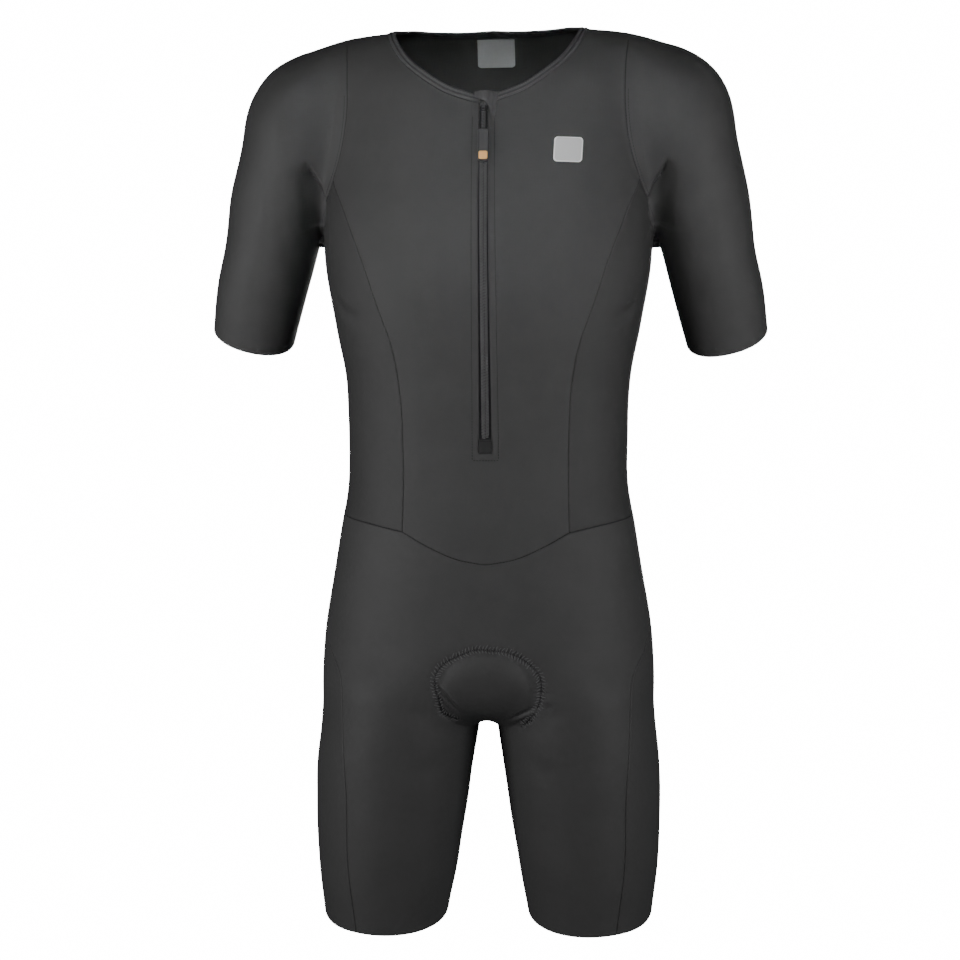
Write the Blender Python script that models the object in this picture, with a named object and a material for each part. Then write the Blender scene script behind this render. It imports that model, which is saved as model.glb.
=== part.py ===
"""Time trial skinsuit: short sleeved one-piece with a half zip, worn form, hollow.

Units are metres, +Z is up, the front faces -Y and the wearer's left is +X.
The origin is between the shoulders, where the wearer holds the suit up.

Every cloth piece is a thin wall on one general figure. The figure is a smooth
function (form), made from the sections of a trunk, two arms and two legs. Seams
are curves through short tables, pressed onto that figure, and each panel is a
grid of points stretched between its seams.
"""

import math

import bpy
import numpy as np
from mathutils import Matrix, Vector

# Cloth sizes
WALL = 0.0012
SEAM_GAP = 0.00036
BINDING_WIDTH = 0.0075
BINDING_PROUD = 0.0006
NECK_MIDDLE_Y = -0.005
ZIP_SLOT_HALF = 0.0045
ZIP_END_Z = -0.3965

# Number of grid cells along each seam
NECK_CELLS = 5
SHOULDER_CELLS = 2
ARMHOLE_CELLS = 7
PRINCESS_CELLS = 14
WAIST_CELLS = 7
WAIST_FRONT_SIDE_CELLS = 4
WAIST_OUTER_CELLS = 4
WAIST_BACK_SIDE_CELLS = 4
UNDERARM_CELLS = WAIST_FRONT_SIDE_CELLS + WAIST_OUTER_CELLS + WAIST_BACK_SIDE_CELLS
SLEEVE_CELLS = 12
INSEAM_CELLS = 8
RISE_CELLS = 12
CENTRE_CELLS_ABOVE_ZIP_END = 16
CENTRE_CELLS = ARMHOLE_CELLS + PRINCESS_CELLS

# Stance of the worn suit: a small turn and lean of the shoulders over the hips
TURN_TOP_DEG = 1.6
TURN_START_Z = -0.41
LEAN = 0.022
LEAN_START_Z = -0.25

# Trunk sections: height, half width, depth in front, depth behind
TRUNK = np.array([
    (0.050, 0.1580, 0.050, 0.072),
    (0.000, 0.1590, 0.062, 0.084),
    (-0.050, 0.1600, 0.080, 0.099),
    (-0.100, 0.1610, 0.096, 0.109),
    (-0.160, 0.1630, 0.110, 0.113),
    (-0.220, 0.1610, 0.113, 0.108),
    (-0.280, 0.1510, 0.107, 0.099),
    (-0.335, 0.1410, 0.099, 0.089),
    (-0.385, 0.1390, 0.094, 0.083),
    (-0.435, 0.1393, 0.093, 0.085),
    (-0.480, 0.1465, 0.095, 0.095),
    (-0.535, 0.1560, 0.098, 0.110),
    (-0.595, 0.1650, 0.100, 0.120),
    (-0.655, 0.1640, 0.098, 0.122),
    (-0.720, 0.1600, 0.092, 0.112),
    (-0.800, 0.1600, 0.088, 0.104),
])

# Leg sections: height, inner side, outer side, depth in front, depth behind
LEG = np.array([
    (-0.560, 0.0100, 0.1600, 0.092, 0.105),
    (-0.620, 0.0060, 0.1650, 0.096, 0.112),
    (-0.680, 0.0090, 0.1685, 0.094, 0.108),
    (-0.715, 0.0145, 0.1725, 0.091, 0.102),
    (-0.755, 0.0200, 0.1737, 0.087, 0.096),
    (-0.795, 0.0265, 0.1730, 0.083, 0.089),
    (-0.835, 0.0330, 0.1705, 0.078, 0.081),
    (-0.870, 0.0400, 0.1662, 0.073, 0.074),
    (-0.930, 0.0480, 0.1600, 0.068, 0.068),
])

# Arm sections: height, inner side, outer side, depth in front, depth behind
ARM = np.array([
    (0.0200, 0.1300, 0.2400, 0.052, 0.066),
    (-0.0500, 0.1340, 0.2405, 0.052, 0.070),
    (-0.0900, 0.1390, 0.2440, 0.052, 0.070),
    (-0.1500, 0.1530, 0.2575, 0.042, 0.070),
    (-0.2050, 0.1705, 0.2645, 0.031, 0.069),
    (-0.2350, 0.1785, 0.2715, 0.024, 0.069),
    (-0.2965, 0.1960, 0.2797, 0.008, 0.078),
    (-0.3600, 0.2130, 0.2910, -0.008, 0.088),
])

# Shoulder roof: height at the middle, fall for each metre sideways, fall with depth
SHOULDER_TOP = 0.025
SHOULDER_FALL = 0.155
ARM_TOP = -0.0075
ARM_FALL = 0.28
ROOF_CURVE = 1.2
ROOF_RIDGE_Y = 0.012
ARM_ROOF_RIDGE = (0.18, 0.010)
CROTCH_Z = -0.6685
LEG_TOP_Z = -0.600

# How square the sections are, and how far the parts of the figure melt together
TRUNK_POWER = 2.35
LIMB_POWER = 2.15
ARM_SIZE = 0.97
ROOF_BLEND = 0.050
CROTCH_BLEND = 0.060
ARM_ROOF_BLEND = 0.060
LEG_TOP_BLEND = 0.050
UNDERARM_BLEND = 0.018
GROIN_BLEND = 0.030

# Bulge of the seat pad at the front: half width, half height, middle height, rise
PAD_BULGE = (0.045, 0.044, -0.636, 0.0055)
PAD_BULGE_FADE = (0.02, 0.04)

# Seams of the wearer's left half. Columns: x, y, z in the straight figure.
NECK_FRONT = np.array([
    (0.0045, -0.081, -0.0530),
    (0.0160, -0.080, -0.0490),
    (0.0340, -0.077, -0.0425),
    (0.0545, -0.069, -0.0305),
    (0.0740, -0.057, -0.0150),
    (0.0870, -0.034, 0.0020),
    (0.0905, 0.002, 0.0100),
])
NECK_BACK = np.array([
    (0.0905, 0.002, 0.0100),
    (0.0860, 0.030, 0.0125),
    (0.0660, 0.054, 0.0135),
    (0.0360, 0.066, 0.0150),
    (0.0000, 0.070, 0.0160),
])
SHOULDER = np.array([
    (0.0950, 0.004, 0.0100),
    (0.1160, 0.011, 0.0060),
    (0.1370, 0.017, 0.0030),
])
ARMHOLE_FRONT = np.array([
    (0.1370, 0.017, 0.0030),
    (0.1375, -0.012, -0.0020),
    (0.1345, -0.033, -0.0220),
    (0.1345, -0.046, -0.0470),
    (0.1360, -0.052, -0.0750),
    (0.1395, -0.0535, -0.1000),
    (0.1450, -0.052, -0.1200),
    (0.1500, -0.0475, -0.1350),
])
UNDERARM = np.array([
    (0.1500, -0.0475, -0.1350),
    (0.1560, -0.0405, -0.1480),
    (0.1610, -0.0330, -0.1600),
    (0.1655, -0.0200, -0.1780),
    (0.1670, -0.0070, -0.1970),
    (0.1670, 0.0120, -0.2070),
    (0.1645, 0.0310, -0.1970),
    (0.1600, 0.0440, -0.1700),
    (0.1550, 0.0530, -0.1500),
    (0.1500, 0.0610, -0.1350),
])
ARMHOLE_BACK = np.array([
    (0.1500, 0.061, -0.1350),
    (0.1420, 0.072, -0.1080),
    (0.1385, 0.074, -0.0800),
    (0.1370, 0.068, -0.0480),
    (0.1370, 0.050, -0.0180),
    (0.1370, 0.017, 0.0030),
])
PRINCESS_FRONT = np.array([
    (0.1500, -0.0475, -0.1350),
    (0.1405, -0.0630, -0.1550),
    (0.1300, -0.0765, -0.1820),
    (0.1190, -0.0855, -0.2110),
    (0.1030, -0.0900, -0.2590),
    (0.0905, -0.0900, -0.2940),
    (0.0840, -0.0865, -0.3300),
    (0.0805, -0.0820, -0.3980),
    (0.0815, -0.0835, -0.4765),
])
PRINCESS_BACK = np.array([
    (0.1500, 0.061, -0.1350),
    (0.1320, 0.085, -0.1850),
    (0.1080, 0.092, -0.2600),
    (0.0890, 0.085, -0.3400),
    (0.0830, 0.081, -0.4000),
    (0.0880, 0.090, -0.4700),
])
WAIST_MIDDLE = np.array([(0.0000, -0.0965, -0.5065)])
WAIST_FRONT = np.array([
    (0.0045, -0.0965, -0.5063),
    (0.0280, -0.0955, -0.5018),
    (0.0560, -0.0920, -0.4902),
    (0.0815, -0.0835, -0.4765),
])
WAIST_FRONT_SIDE = np.array([
    (0.0815, -0.0835, -0.4765),
    (0.1100, -0.0680, -0.4715),
    (0.1370, -0.0380, -0.4680),
    (0.1445, 0.0040, -0.4665),
])
WAIST_OUTER = np.array([
    (0.1445, 0.0040, -0.4665),
    (0.1440, 0.0200, -0.4665),
    (0.1390, 0.0380, -0.4665),
])
WAIST_BACK_SIDE = np.array([
    (0.1390, 0.0380, -0.4665),
    (0.1180, 0.0700, -0.4670),
    (0.0880, 0.0900, -0.4700),
])
WAIST_BACK = np.array([
    (0.0880, 0.0900, -0.4700),
    (0.0450, 0.0950, -0.4720),
    (0.0000, 0.0960, -0.4730),
])
LEG_SEAM_FRONT = np.array([
    (0.1445, 0.0040, -0.4665),
    (0.1600, -0.0060, -0.5450),
    (0.1605, -0.0280, -0.5900),
    (0.1465, -0.0655, -0.6250),
    (0.1420, -0.0720, -0.6800),
    (0.1385, -0.0755, -0.7400),
    (0.1380, -0.0720, -0.8100),
    (0.1300, -0.0670, -0.8830),
])
LEG_SEAM_BACK = np.array([
    (0.1390, 0.0380, -0.4665),
    (0.1540, 0.0560, -0.5400),
    (0.1530, 0.0700, -0.6100),
    (0.1490, 0.0750, -0.7000),
    (0.1440, 0.0680, -0.7900),
    (0.1370, 0.0550, -0.8640),
])
INSEAM = np.array([
    (0.0000, 0.0080, -0.6650),
    (0.0095, 0.0060, -0.6780),
    (0.0155, 0.0030, -0.7130),
    (0.0270, 0.0000, -0.7880),
    (0.0410, 0.0000, -0.8720),
])
RISE_FRONT = np.array([
    (0.0000, -0.0965, -0.5065),
    (0.0000, -0.0980, -0.5500),
    (0.0000, -0.1000, -0.5950),
    (0.0000, -0.0960, -0.6300),
    (0.0000, -0.0650, -0.6550),
    (0.0000, -0.0300, -0.6630),
    (0.0000, 0.0080, -0.6650),
])
RISE_BACK = np.array([
    (0.0000, 0.0960, -0.4730),
    (0.0000, 0.1120, -0.5350),
    (0.0000, 0.1200, -0.5900),
    (0.0000, 0.1080, -0.6340),
    (0.0000, 0.0600, -0.6590),
    (0.0000, 0.0080, -0.6650),
])
HEM_FRONT = np.array([
    (0.1300, -0.0670, -0.8830),
    (0.1000, -0.0720, -0.8845),
    (0.0640, -0.0560, -0.8820),
    (0.0410, 0.0000, -0.8720),
])
HEM_BACK = np.array([
    (0.1370, 0.0550, -0.8640),
    (0.1040, 0.0720, -0.8615),
    (0.0660, 0.0570, -0.8640),
    (0.0410, 0.0000, -0.8720),
])
HEM_OUTER = np.array([
    (0.1300, -0.0670, -0.8830),
    (0.1530, -0.0450, -0.8800),
    (0.1660, 0.0000, -0.8720),
    (0.1600, 0.0320, -0.8670),
    (0.1370, 0.0550, -0.8640),
])

# Cuff: middle of the ring, and the slope of its plane sideways and with depth
CUFF_CENTRE = (0.2375, 0.0350, -0.2922)
CUFF_SLOPE_X = 0.29
CUFF_SLOPE_Y = 0.40

# Sleeve: lines along its top and its underside, and how its rings crowd at the cap
SLEEVE_TOP = np.array([
    (0.1370, 0.017, 0.0030),
    (0.1750, 0.015, -0.0040),
    (0.2050, 0.014, -0.0180),
    (0.2260, 0.015, -0.0450),
    (0.2380, 0.016, -0.0850),
    (0.2500, 0.020, -0.1400),
    (0.2620, 0.028, -0.2000),
    (0.2790, 0.040, -0.2800),
])
SLEEVE_UNDER = np.array([
    (0.1670, 0.012, -0.2070),
    (0.1740, 0.016, -0.2300),
    (0.1840, 0.022, -0.2640),
    (0.1970, 0.030, -0.3060),
])
SLEEVE_SPACING = 1.15

# Seat pad: distance along the middle line, half width. It starts at PAD_FRONT_Z.
PAD_OUTLINE = np.array([
    (0.000, 0.012),
    (0.012, 0.032),
    (0.030, 0.045),
    (0.055, 0.051),
    (0.080, 0.046),
    (0.105, 0.032),
    (0.135, 0.025),
    (0.165, 0.028),
    (0.200, 0.050),
    (0.240, 0.072),
    (0.275, 0.066),
    (0.300, 0.042),
    (0.310, 0.018),
])
PAD_FRONT_Z = -0.590
PAD_THICKNESS = 0.0050
PAD_CLEAR = 0.0044
PAD_ROWS = 18
PAD_COLUMNS = 6

# Zip and what lies on the panels
TAPE_HALF = 0.0115
TAPE_THICKNESS = 0.0007
TAPE_CLEAR = 0.0005
TAPE_TOP_Z = -0.0618
TAPE_END_Z = -0.4060
CHAIN_HALF = 0.0034
CHAIN_PROUD = 0.0007
CHAIN_TOP_Z = -0.0660
CHAIN_END_Z = -0.3835
END_PATCH_HALF = 0.0070
END_PATCH_TOP_Z = -0.3845
END_PATCH_BOTTOM_Z = -0.3985
ON_PANEL_CLEAR = 0.0003
END_PATCH_THICKNESS = 0.0009
GARAGE_HALF = 0.0095
GARAGE_RISE = 0.0062
GARAGE_TOP_Z = -0.0470
GARAGE_BOTTOM_Z = -0.0595
GARAGE_THICKNESS = 0.0010
GARAGE_ROWS = 3
GARAGE_COLUMNS = 6
LABEL_HALF_WIDTH = 0.0190
LABEL_CENTRE_X = 0.0030
LABEL_TOP_Z = 0.0040
LABEL_BOTTOM_Z = -0.0245
LABEL_THICKNESS = 0.0005
LABEL_CLEAR = 0.0010
PATCH_CENTRE = (0.0810, -0.1055)
PATCH_SIZE = (0.0275, 0.0235)
PATCH_CORNER = 0.0035
PATCH_TILT_DEG = -3.0
PATCH_THICKNESS = 0.0004

# Slider and pull. Heights are above the outer face of the cloth.
SLIDER_Z = -0.0640
SLIDER_WIDTH = 0.0076
SLIDER_LENGTH = 0.0095
SLIDER_BASE = 0.0011
SLIDER_THICKNESS = 0.0016
BRIDGE_WIDTH = 0.0024
BRIDGE_HALF_LENGTH = 0.0036
BRIDGE_BAR = 0.0011
BRIDGE_CORNER = 0.0010
BRIDGE_NOTCH = 0.0005
BRIDGE_ROOT = 0.0004
SLIDER_CORNERS = (0.0022, 0.0012)
SLIDER_EDGE = 0.0003
CORD_DIAMETER = 0.0017
CORD_CLEAR = 0.0003
CORD_HALF_SPREAD = 0.0027
CORD_BEND = 0.0016
CORD_LENGTH = 0.0225
TAB_WIDTH = 0.0112
TAB_LENGTH = 0.0330
TAB_THICKNESS = 0.0030
TAB_CORNER_TOP = 0.0015
TAB_CORNER_BOTTOM = 0.0046
TAB_EDGE = 0.0006
INSET_SIZE = (0.0084, 0.0080)
INSET_THICKNESS = 0.0006
INSET_FROM_END = 0.0022
INSET_CORNER = 0.0016
INSET_EDGE = 0.0002

# Pressing points onto the figure: least squared slope used, longest single step
LEAST_SLOPE = 0.2
LONGEST_STEP = 0.02

# Finishes: colour, roughness, metallic
FINISHES = {
    "body_knit": ((0.045, 0.045, 0.047), 0.80, 0.0),
    "binding_knit": ((0.062, 0.062, 0.064), 0.78, 0.0),
    "zip_tape": ((0.035, 0.035, 0.037), 0.85, 0.0),
    "zip_coil": ((0.070, 0.070, 0.072), 0.45, 0.0),
    "slider_metal": ((0.050, 0.050, 0.052), 0.35, 0.8),
    "pull_cord": ((0.040, 0.040, 0.042), 0.60, 0.0),
    "pull_rubber": ((0.055, 0.055, 0.057), 0.55, 0.0),
    "pull_inset": ((0.900, 0.480, 0.180), 0.45, 0.0),
    "label_satin": ((0.170, 0.180, 0.185), 0.50, 0.0),
    "patch_film": ((0.720, 0.720, 0.720), 0.45, 0.0),
    "pad_foam": ((0.040, 0.040, 0.042), 0.90, 0.0),
}


def clear_scene():
    """Remove every object that is already in the file."""
    for item in list(bpy.data.objects):
        bpy.data.objects.remove(item, do_unlink=True)


def rows_at(table, places):
    """Smooth values of a table's columns at places in its first column.

    A cubic runs from row to row, with the slope at a row taken from its neighbours.
    """
    rows = table[::-1] if table[0, 0] > table[-1, 0] else table
    knots, values = rows[:, 0], rows[:, 1:]
    step = np.diff(knots)[:, None]
    rise = np.diff(values, axis=0) / step
    slope = np.empty_like(values)
    slope[1:-1] = (rise[:-1] * step[1:] + rise[1:] * step[:-1]) / (step[:-1] + step[1:])
    slope[0], slope[-1] = rise[0], rise[-1]
    inside = np.clip(places, knots[0], knots[-1])
    i = np.clip(np.searchsorted(knots, inside, side="right") - 1, 0, len(knots) - 2)
    width = step[i]
    u = (inside - knots[i])[:, None] / width
    start = (2 * u**3 - 3 * u**2 + 1) * values[i] + (u**3 - 2 * u**2 + u) * width * slope[i]
    end = (3 * u**2 - 2 * u**3) * values[i + 1] + (u**3 - u**2) * width * slope[i + 1]
    return (start + end).T


def soft_min(a, b, radius):
    """The smaller of two distances, rounded where they cross."""
    near = np.maximum(radius - np.abs(a - b), 0.0) / radius
    return np.minimum(a, b) - near * near * radius / 4


def soft_max(a, b, radius):
    """The larger of two distances, rounded where they cross."""
    return -soft_min(-a, -b, radius)


def oval(x, y, middle_x, middle_y, half_width, half_depth, power):
    """Distance from a rounded oval, negative inside it."""
    dx, dy = x - middle_x, y - middle_y
    ratio = (np.abs(dx / half_width) ** power + np.abs(dy / half_depth) ** power) ** (1 / power)
    return np.hypot(dx, dy) * (1 - 1 / np.maximum(ratio, 1e-6))


def trunk_distance(x, y, z):
    """Trunk between its shoulder roof and its rounded lower end."""
    half_width, front, back = rows_at(TRUNK, z)
    sides = oval(x, y, 0.0, (back - front) / 2, half_width, (front + back) / 2, TRUNK_POWER)
    roof = z - (SHOULDER_TOP - SHOULDER_FALL * x - ROOF_CURVE * (y - ROOF_RIDGE_Y) ** 2)
    return soft_max(soft_max(sides, roof, ROOF_BLEND), CROTCH_Z - z, CROTCH_BLEND)


def limb_distance(table, x, y, z):
    """Arm or leg from its table of sections."""
    inner, outer, front, back = rows_at(table, z)
    middle = ((inner + outer) / 2, (back - front) / 2)
    return oval(x, y, middle[0], middle[1], (outer - inner) / 2, (front + back) / 2, LIMB_POWER)


def pad_bulge(x, y, z):
    """How far the seat pad pushes the cloth out at the front."""
    half_width, half_height, middle, rise = PAD_BULGE
    level = np.clip(1 - (x / half_width) ** 2 - ((z - middle) / half_height) ** 2, 0, 1)
    start, length = PAD_BULGE_FADE
    front = np.clip((start - y) / length, 0, 1)
    return rise * front * level * (2 - level)


def form(points):
    """Signed distance from the general figure: zero on its surface."""
    x, y, z = np.abs(points[:, 0]), points[:, 1], points[:, 2]
    ridge_x, ridge_y = ARM_ROOF_RIDGE
    arm_roof = z - (ARM_TOP - ARM_FALL * (x - ridge_x) - ROOF_CURVE * (y - ridge_y) ** 2)
    arm = soft_max(limb_distance(ARM, x, y, z) * ARM_SIZE, arm_roof, ARM_ROOF_BLEND)
    leg = soft_max(limb_distance(LEG, x, y, z), z - LEG_TOP_Z, LEG_TOP_BLEND)
    body = soft_min(trunk_distance(x, y, z), arm, UNDERARM_BLEND)
    return soft_min(body, leg, GROIN_BLEND) - pad_bulge(x, y, z)


def form_gradient(points):
    """Direction and rate in which the distance grows."""
    step = 1e-4
    parts = []
    for axis in range(3):
        shift = np.zeros(3)
        shift[axis] = step
        parts.append((form(points + shift) - form(points - shift)) / (2 * step))
    return np.stack(parts, axis=1)


def settle(points, rounds=8):
    """Press points onto the figure along its gradient."""
    points = np.array(points, dtype=float)
    for _ in range(rounds):
        gradient = form_gradient(points)
        size = np.maximum((gradient**2).sum(axis=1), LEAST_SLOPE)
        step = np.clip(form(points) / size, -LONGEST_STEP, LONGEST_STEP)
        points -= gradient * step[:, None]
    return points


def outward(points):
    """Unit normals of the figure at points on it."""
    gradient = form_gradient(points)
    return gradient / np.linalg.norm(gradient, axis=1, keepdims=True)


def curve_through(rows, count):
    """Even points on a smooth curve through the rows of a table."""
    lengths = np.linalg.norm(np.diff(rows, axis=0), axis=1)
    along = np.concatenate([[0.0], np.cumsum(lengths)])
    fine = rows_at(np.column_stack([along, rows]), np.linspace(0, along[-1], 200)).T
    pieces = np.linalg.norm(np.diff(fine, axis=0), axis=1)
    run = np.concatenate([[0.0], np.cumsum(pieces)])
    places = np.linspace(0, run[-1], count)
    return np.column_stack([np.interp(places, run, fine[:, i]) for i in range(3)])


def seam(rows, cells):
    """Points of a seam, pressed onto the figure."""
    points = settle(curve_through(rows, cells + 1))
    points[np.abs(points[:, 0]) < 1e-6, 0] = 0.0
    return points


def joined(*runs):
    """One run of points from several that meet end to end."""
    parts = [runs[0]] + [run[1:] for run in runs[1:]]
    return np.concatenate(parts)


def flipped(points):
    """The same points on the wearer's other side."""
    return points * np.array([-1.0, 1.0, 1.0])


def stretched(top, bottom, first, last):
    """Grid of points between four edges, evened out and pressed onto the figure.

    Each inner point starts from the blend of its two columns' ends and its two
    rows' ends, less the blend of the four corners. Then it moves to the middle of
    its neighbours a few times and back onto the figure.
    """
    rows, columns = len(first), len(top)
    u = np.linspace(0, 1, columns)[None, :, None]
    v = np.linspace(0, 1, rows)[:, None, None]
    across = (1 - u) * first[:, None] + u * last[:, None]
    down = (1 - v) * top[None] + v * bottom[None]
    corners = (1 - v) * ((1 - u) * top[0] + u * top[-1]) + v * ((1 - u) * bottom[0] + u * bottom[-1])
    grid = across + down - corners
    grid[0], grid[-1], grid[:, 0], grid[:, -1] = top, bottom, first, last
    for _ in range(10):
        inner = settle(grid[1:-1, 1:-1].reshape(-1, 3), 2).reshape(rows - 2, columns - 2, 3)
        grid[1:-1, 1:-1] = inner
        middle = (grid[:-2, 1:-1] + grid[2:, 1:-1] + grid[1:-1, :-2] + grid[1:-1, 2:]) / 4
        grid[1:-1, 1:-1] = 0.5 * inner + 0.5 * middle
    grid[1:-1, 1:-1] = settle(grid[1:-1, 1:-1].reshape(-1, 3)).reshape(rows - 2, columns - 2, 3)
    return grid


def grid_cells(rows, columns, start=0, ring=False):
    """Four-sided cells of a grid whose points are numbered row by row."""
    numbers = start + np.arange(rows * columns).reshape(rows, columns)
    right = np.roll(numbers, -1, axis=1) if ring else numbers[:, 1:]
    left = numbers if ring else numbers[:, :-1]
    cells = np.stack([left[:-1], left[1:], right[1:], right[:-1]], axis=-1)
    return cells.reshape(-1, 4)


def merged(points, cells):
    """Join points at the same place, such as halves along a middle line, and drop unused ones."""
    keys = np.round(points / 1e-5).astype(np.int64)
    _, first, where = np.unique(keys, axis=0, return_index=True, return_inverse=True)
    cells = where.reshape(-1)[cells]
    used, numbers = np.unique(cells, return_inverse=True)
    return points[first][used], numbers.reshape(cells.shape)


def edge_runs(cells):
    """Edges that only one cell has, in that cell's turning direction."""
    edges = np.concatenate([np.stack([cells[:, i], cells[:, (i + 1) % 4]], axis=1) for i in range(4)])
    ordered = np.sort(edges, axis=1)
    _, where, counts = np.unique(ordered, axis=0, return_inverse=True, return_counts=True)
    return edges[counts[where.reshape(-1)] == 1]


def inset_edges(points, edges, normals, distance):
    """Move border points into their panel, square to the border."""
    sums = np.zeros_like(points)
    kinds = np.zeros(len(points))
    dots = np.zeros(len(points))
    first = {}
    for a, b in edges:
        along = points[b] - points[a]
        inward = np.cross(normals[a] + normals[b], along)
        inward /= np.linalg.norm(inward)
        for corner in (a, b):
            sums[corner] += inward
            kinds[corner] += 1
            if corner in first:
                dots[corner] = float(np.dot(first[corner], inward))
            first[corner] = inward
    border = kinds > 0
    moved = points.copy()
    moved[border] += sums[border] * (distance / (1 + dots[border]))[:, None]
    return moved


def stance(points):
    """Turn and lean the shoulders over the hips, from the straight figure."""
    x, y, z = points.T
    turn = math.radians(TURN_TOP_DEG) * np.clip((z - TURN_START_Z) / -TURN_START_Z, 0, 1.1)
    level = np.clip((z - LEAN_START_Z) / -LEAN_START_Z, 0, 1)
    level = level * level * (3 - 2 * level)
    turned_x = np.cos(turn) * x + np.sin(turn) * y
    turned_y = np.cos(turn) * y - np.sin(turn) * x
    return np.stack([turned_x, turned_y, z + LEAN * x * level], axis=1)


def material(name):
    """A plain finish from the table."""
    found = bpy.data.materials.get(name)
    if found:
        return found
    colour, roughness, metallic = FINISHES[name]
    made = bpy.data.materials.new(name)
    made.use_nodes = True
    shader = made.node_tree.nodes["Principled BSDF"]
    shader.inputs["Base Color"].default_value = (*colour, 1.0)
    shader.inputs["Roughness"].default_value = roughness
    shader.inputs["Metallic"].default_value = metallic
    made.diffuse_color = (*colour, 1.0)
    return made


def add_object(name, points, faces, finish):
    """Make a named object from points and faces."""
    mesh = bpy.data.meshes.new(name)
    mesh.from_pydata(np.asarray(points).tolist(), [], [list(map(int, face)) for face in faces])
    mesh.validate()
    mesh.shade_smooth()
    mesh.set_sharp_from_angle(angle=math.radians(40))
    mesh.materials.append(material(finish))
    item = bpy.data.objects.new(name, mesh)
    bpy.context.scene.collection.objects.link(item)
    return item


def facing_out(cells, points, normals):
    """The same cells, turned so that they are seen from outside."""
    quad = points[cells[0]]
    turned = np.cross(quad[2] - quad[0], quad[3] - quad[1])
    return cells if np.dot(turned, normals[cells[0, 0]]) > 0 else cells[:, ::-1]


def wall_faces(cells, points):
    """Outer cells, inner cells and the rim between them.

    The outer points come first and the inner ones follow in the same order. Each
    stretch of rim is split from its lower outer point, so that two panels which
    meet at a seam are split alike.
    """
    count = len(points)
    faces = cells.tolist() + (cells[:, ::-1] + count).tolist()
    for a, b in edge_runs(cells).tolist():
        if points[a, 2] < points[b, 2]:
            faces += [[b, a, b + count], [a, a + count, b + count]]
        else:
            faces += [[b, a, a + count], [b, a + count, b + count]]
    return faces


def add_wall(name, points, cells, finish, top=0.0, thickness=WALL, inset=SEAM_GAP / 2):
    """A cloth wall on the figure: top is the height of its outer face above it."""
    points, cells = merged(points, cells)
    normals = outward(points)
    cells = facing_out(cells, points, normals)
    points = inset_edges(points, edge_runs(cells), normals, inset)
    outer = stance(points + normals * top)
    inner = stance(points + normals * (top - thickness))
    return add_object(name, np.concatenate([outer, inner]), wall_faces(cells, points), finish)


def lowered_edge(edge, distance):
    """An edge moved down the cloth, away from the neck, and settled again."""
    along = np.gradient(edge, axis=0)
    down = np.cross(outward(edge), along)
    down /= np.linalg.norm(down, axis=1, keepdims=True)
    centre = np.array([0.0, NECK_MIDDLE_Y, edge[:, 2].mean()])
    side = np.sign(((edge - centre) * down).sum(axis=1))
    return settle(edge + down * side[:, None] * distance)


def make_seams():
    """All seams of the wearer's left half, by name."""
    neck_front = seam(NECK_FRONT, NECK_CELLS)
    neck_back = seam(NECK_BACK, NECK_CELLS)
    low_front = lowered_edge(neck_front, BINDING_WIDTH)
    low_back = lowered_edge(neck_back, BINDING_WIDTH)
    low_back[-1, 0] = 0.0
    low_front[0, 0] = ZIP_SLOT_HALF
    low_front[:1] = settle_column(low_front[:1])
    shoulder_start = (low_front[-1] + low_back[0]) / 2
    shoulder_start = settle(shoulder_start[None])[0]
    low_front[-1] = shoulder_start
    low_back[0] = shoulder_start
    shoulder_rows = SHOULDER.copy()
    shoulder_rows[0] = shoulder_start
    return {
        "neck_front": neck_front,
        "neck_back": neck_back,
        "low_front": low_front,
        "low_back": low_back,
        "shoulder": seam(shoulder_rows, SHOULDER_CELLS),
        "armhole_front": seam(ARMHOLE_FRONT, ARMHOLE_CELLS),
        "underarm": seam(UNDERARM, UNDERARM_CELLS),
        "armhole_back": seam(ARMHOLE_BACK, ARMHOLE_CELLS),
        "princess_front": seam(PRINCESS_FRONT, PRINCESS_CELLS),
        "princess_back": seam(PRINCESS_BACK, PRINCESS_CELLS),
        "waist_middle": settle(WAIST_MIDDLE),
        "waist_front": seam(WAIST_FRONT, WAIST_CELLS),
        "waist_front_side": seam(WAIST_FRONT_SIDE, WAIST_FRONT_SIDE_CELLS),
        "waist_outer": seam(WAIST_OUTER, WAIST_OUTER_CELLS),
        "waist_back_side": seam(WAIST_BACK_SIDE, WAIST_BACK_SIDE_CELLS),
        "waist_back": seam(WAIST_BACK, WAIST_CELLS),
        "leg_front": seam(LEG_SEAM_FRONT, INSEAM_CELLS + RISE_CELLS),
        "leg_back": seam(LEG_SEAM_BACK, INSEAM_CELLS + RISE_CELLS),
        "inseam": seam(INSEAM, INSEAM_CELLS),
        "rise_front": seam(RISE_FRONT, RISE_CELLS),
        "rise_back": seam(RISE_BACK, RISE_CELLS),
        "hem_front": seam(HEM_FRONT, 1 + WAIST_CELLS + WAIST_FRONT_SIDE_CELLS),
        "hem_back": seam(HEM_BACK, WAIST_CELLS + WAIST_BACK_SIDE_CELLS),
        "hem_outer": seam(HEM_OUTER, WAIST_OUTER_CELLS),
    }


def settle_column(points):
    """Press points onto the front or back of the figure, keeping x and z."""
    points = np.array(points, dtype=float)
    for _ in range(12):
        slope = form_gradient(points)[:, 1]
        slope = np.where(np.abs(slope) < LEAST_SLOPE, np.sign(slope + 1e-9) * LEAST_SLOPE, slope)
        points[:, 1] -= np.clip(form(points) / slope, -LONGEST_STEP, LONGEST_STEP)
    return points


def front_line(x, heights):
    """Points on the front of the figure at one x, from top to bottom."""
    guess = np.column_stack([np.full(len(heights), x), np.full(len(heights), -0.09), heights])
    return settle_column(guess)


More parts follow.
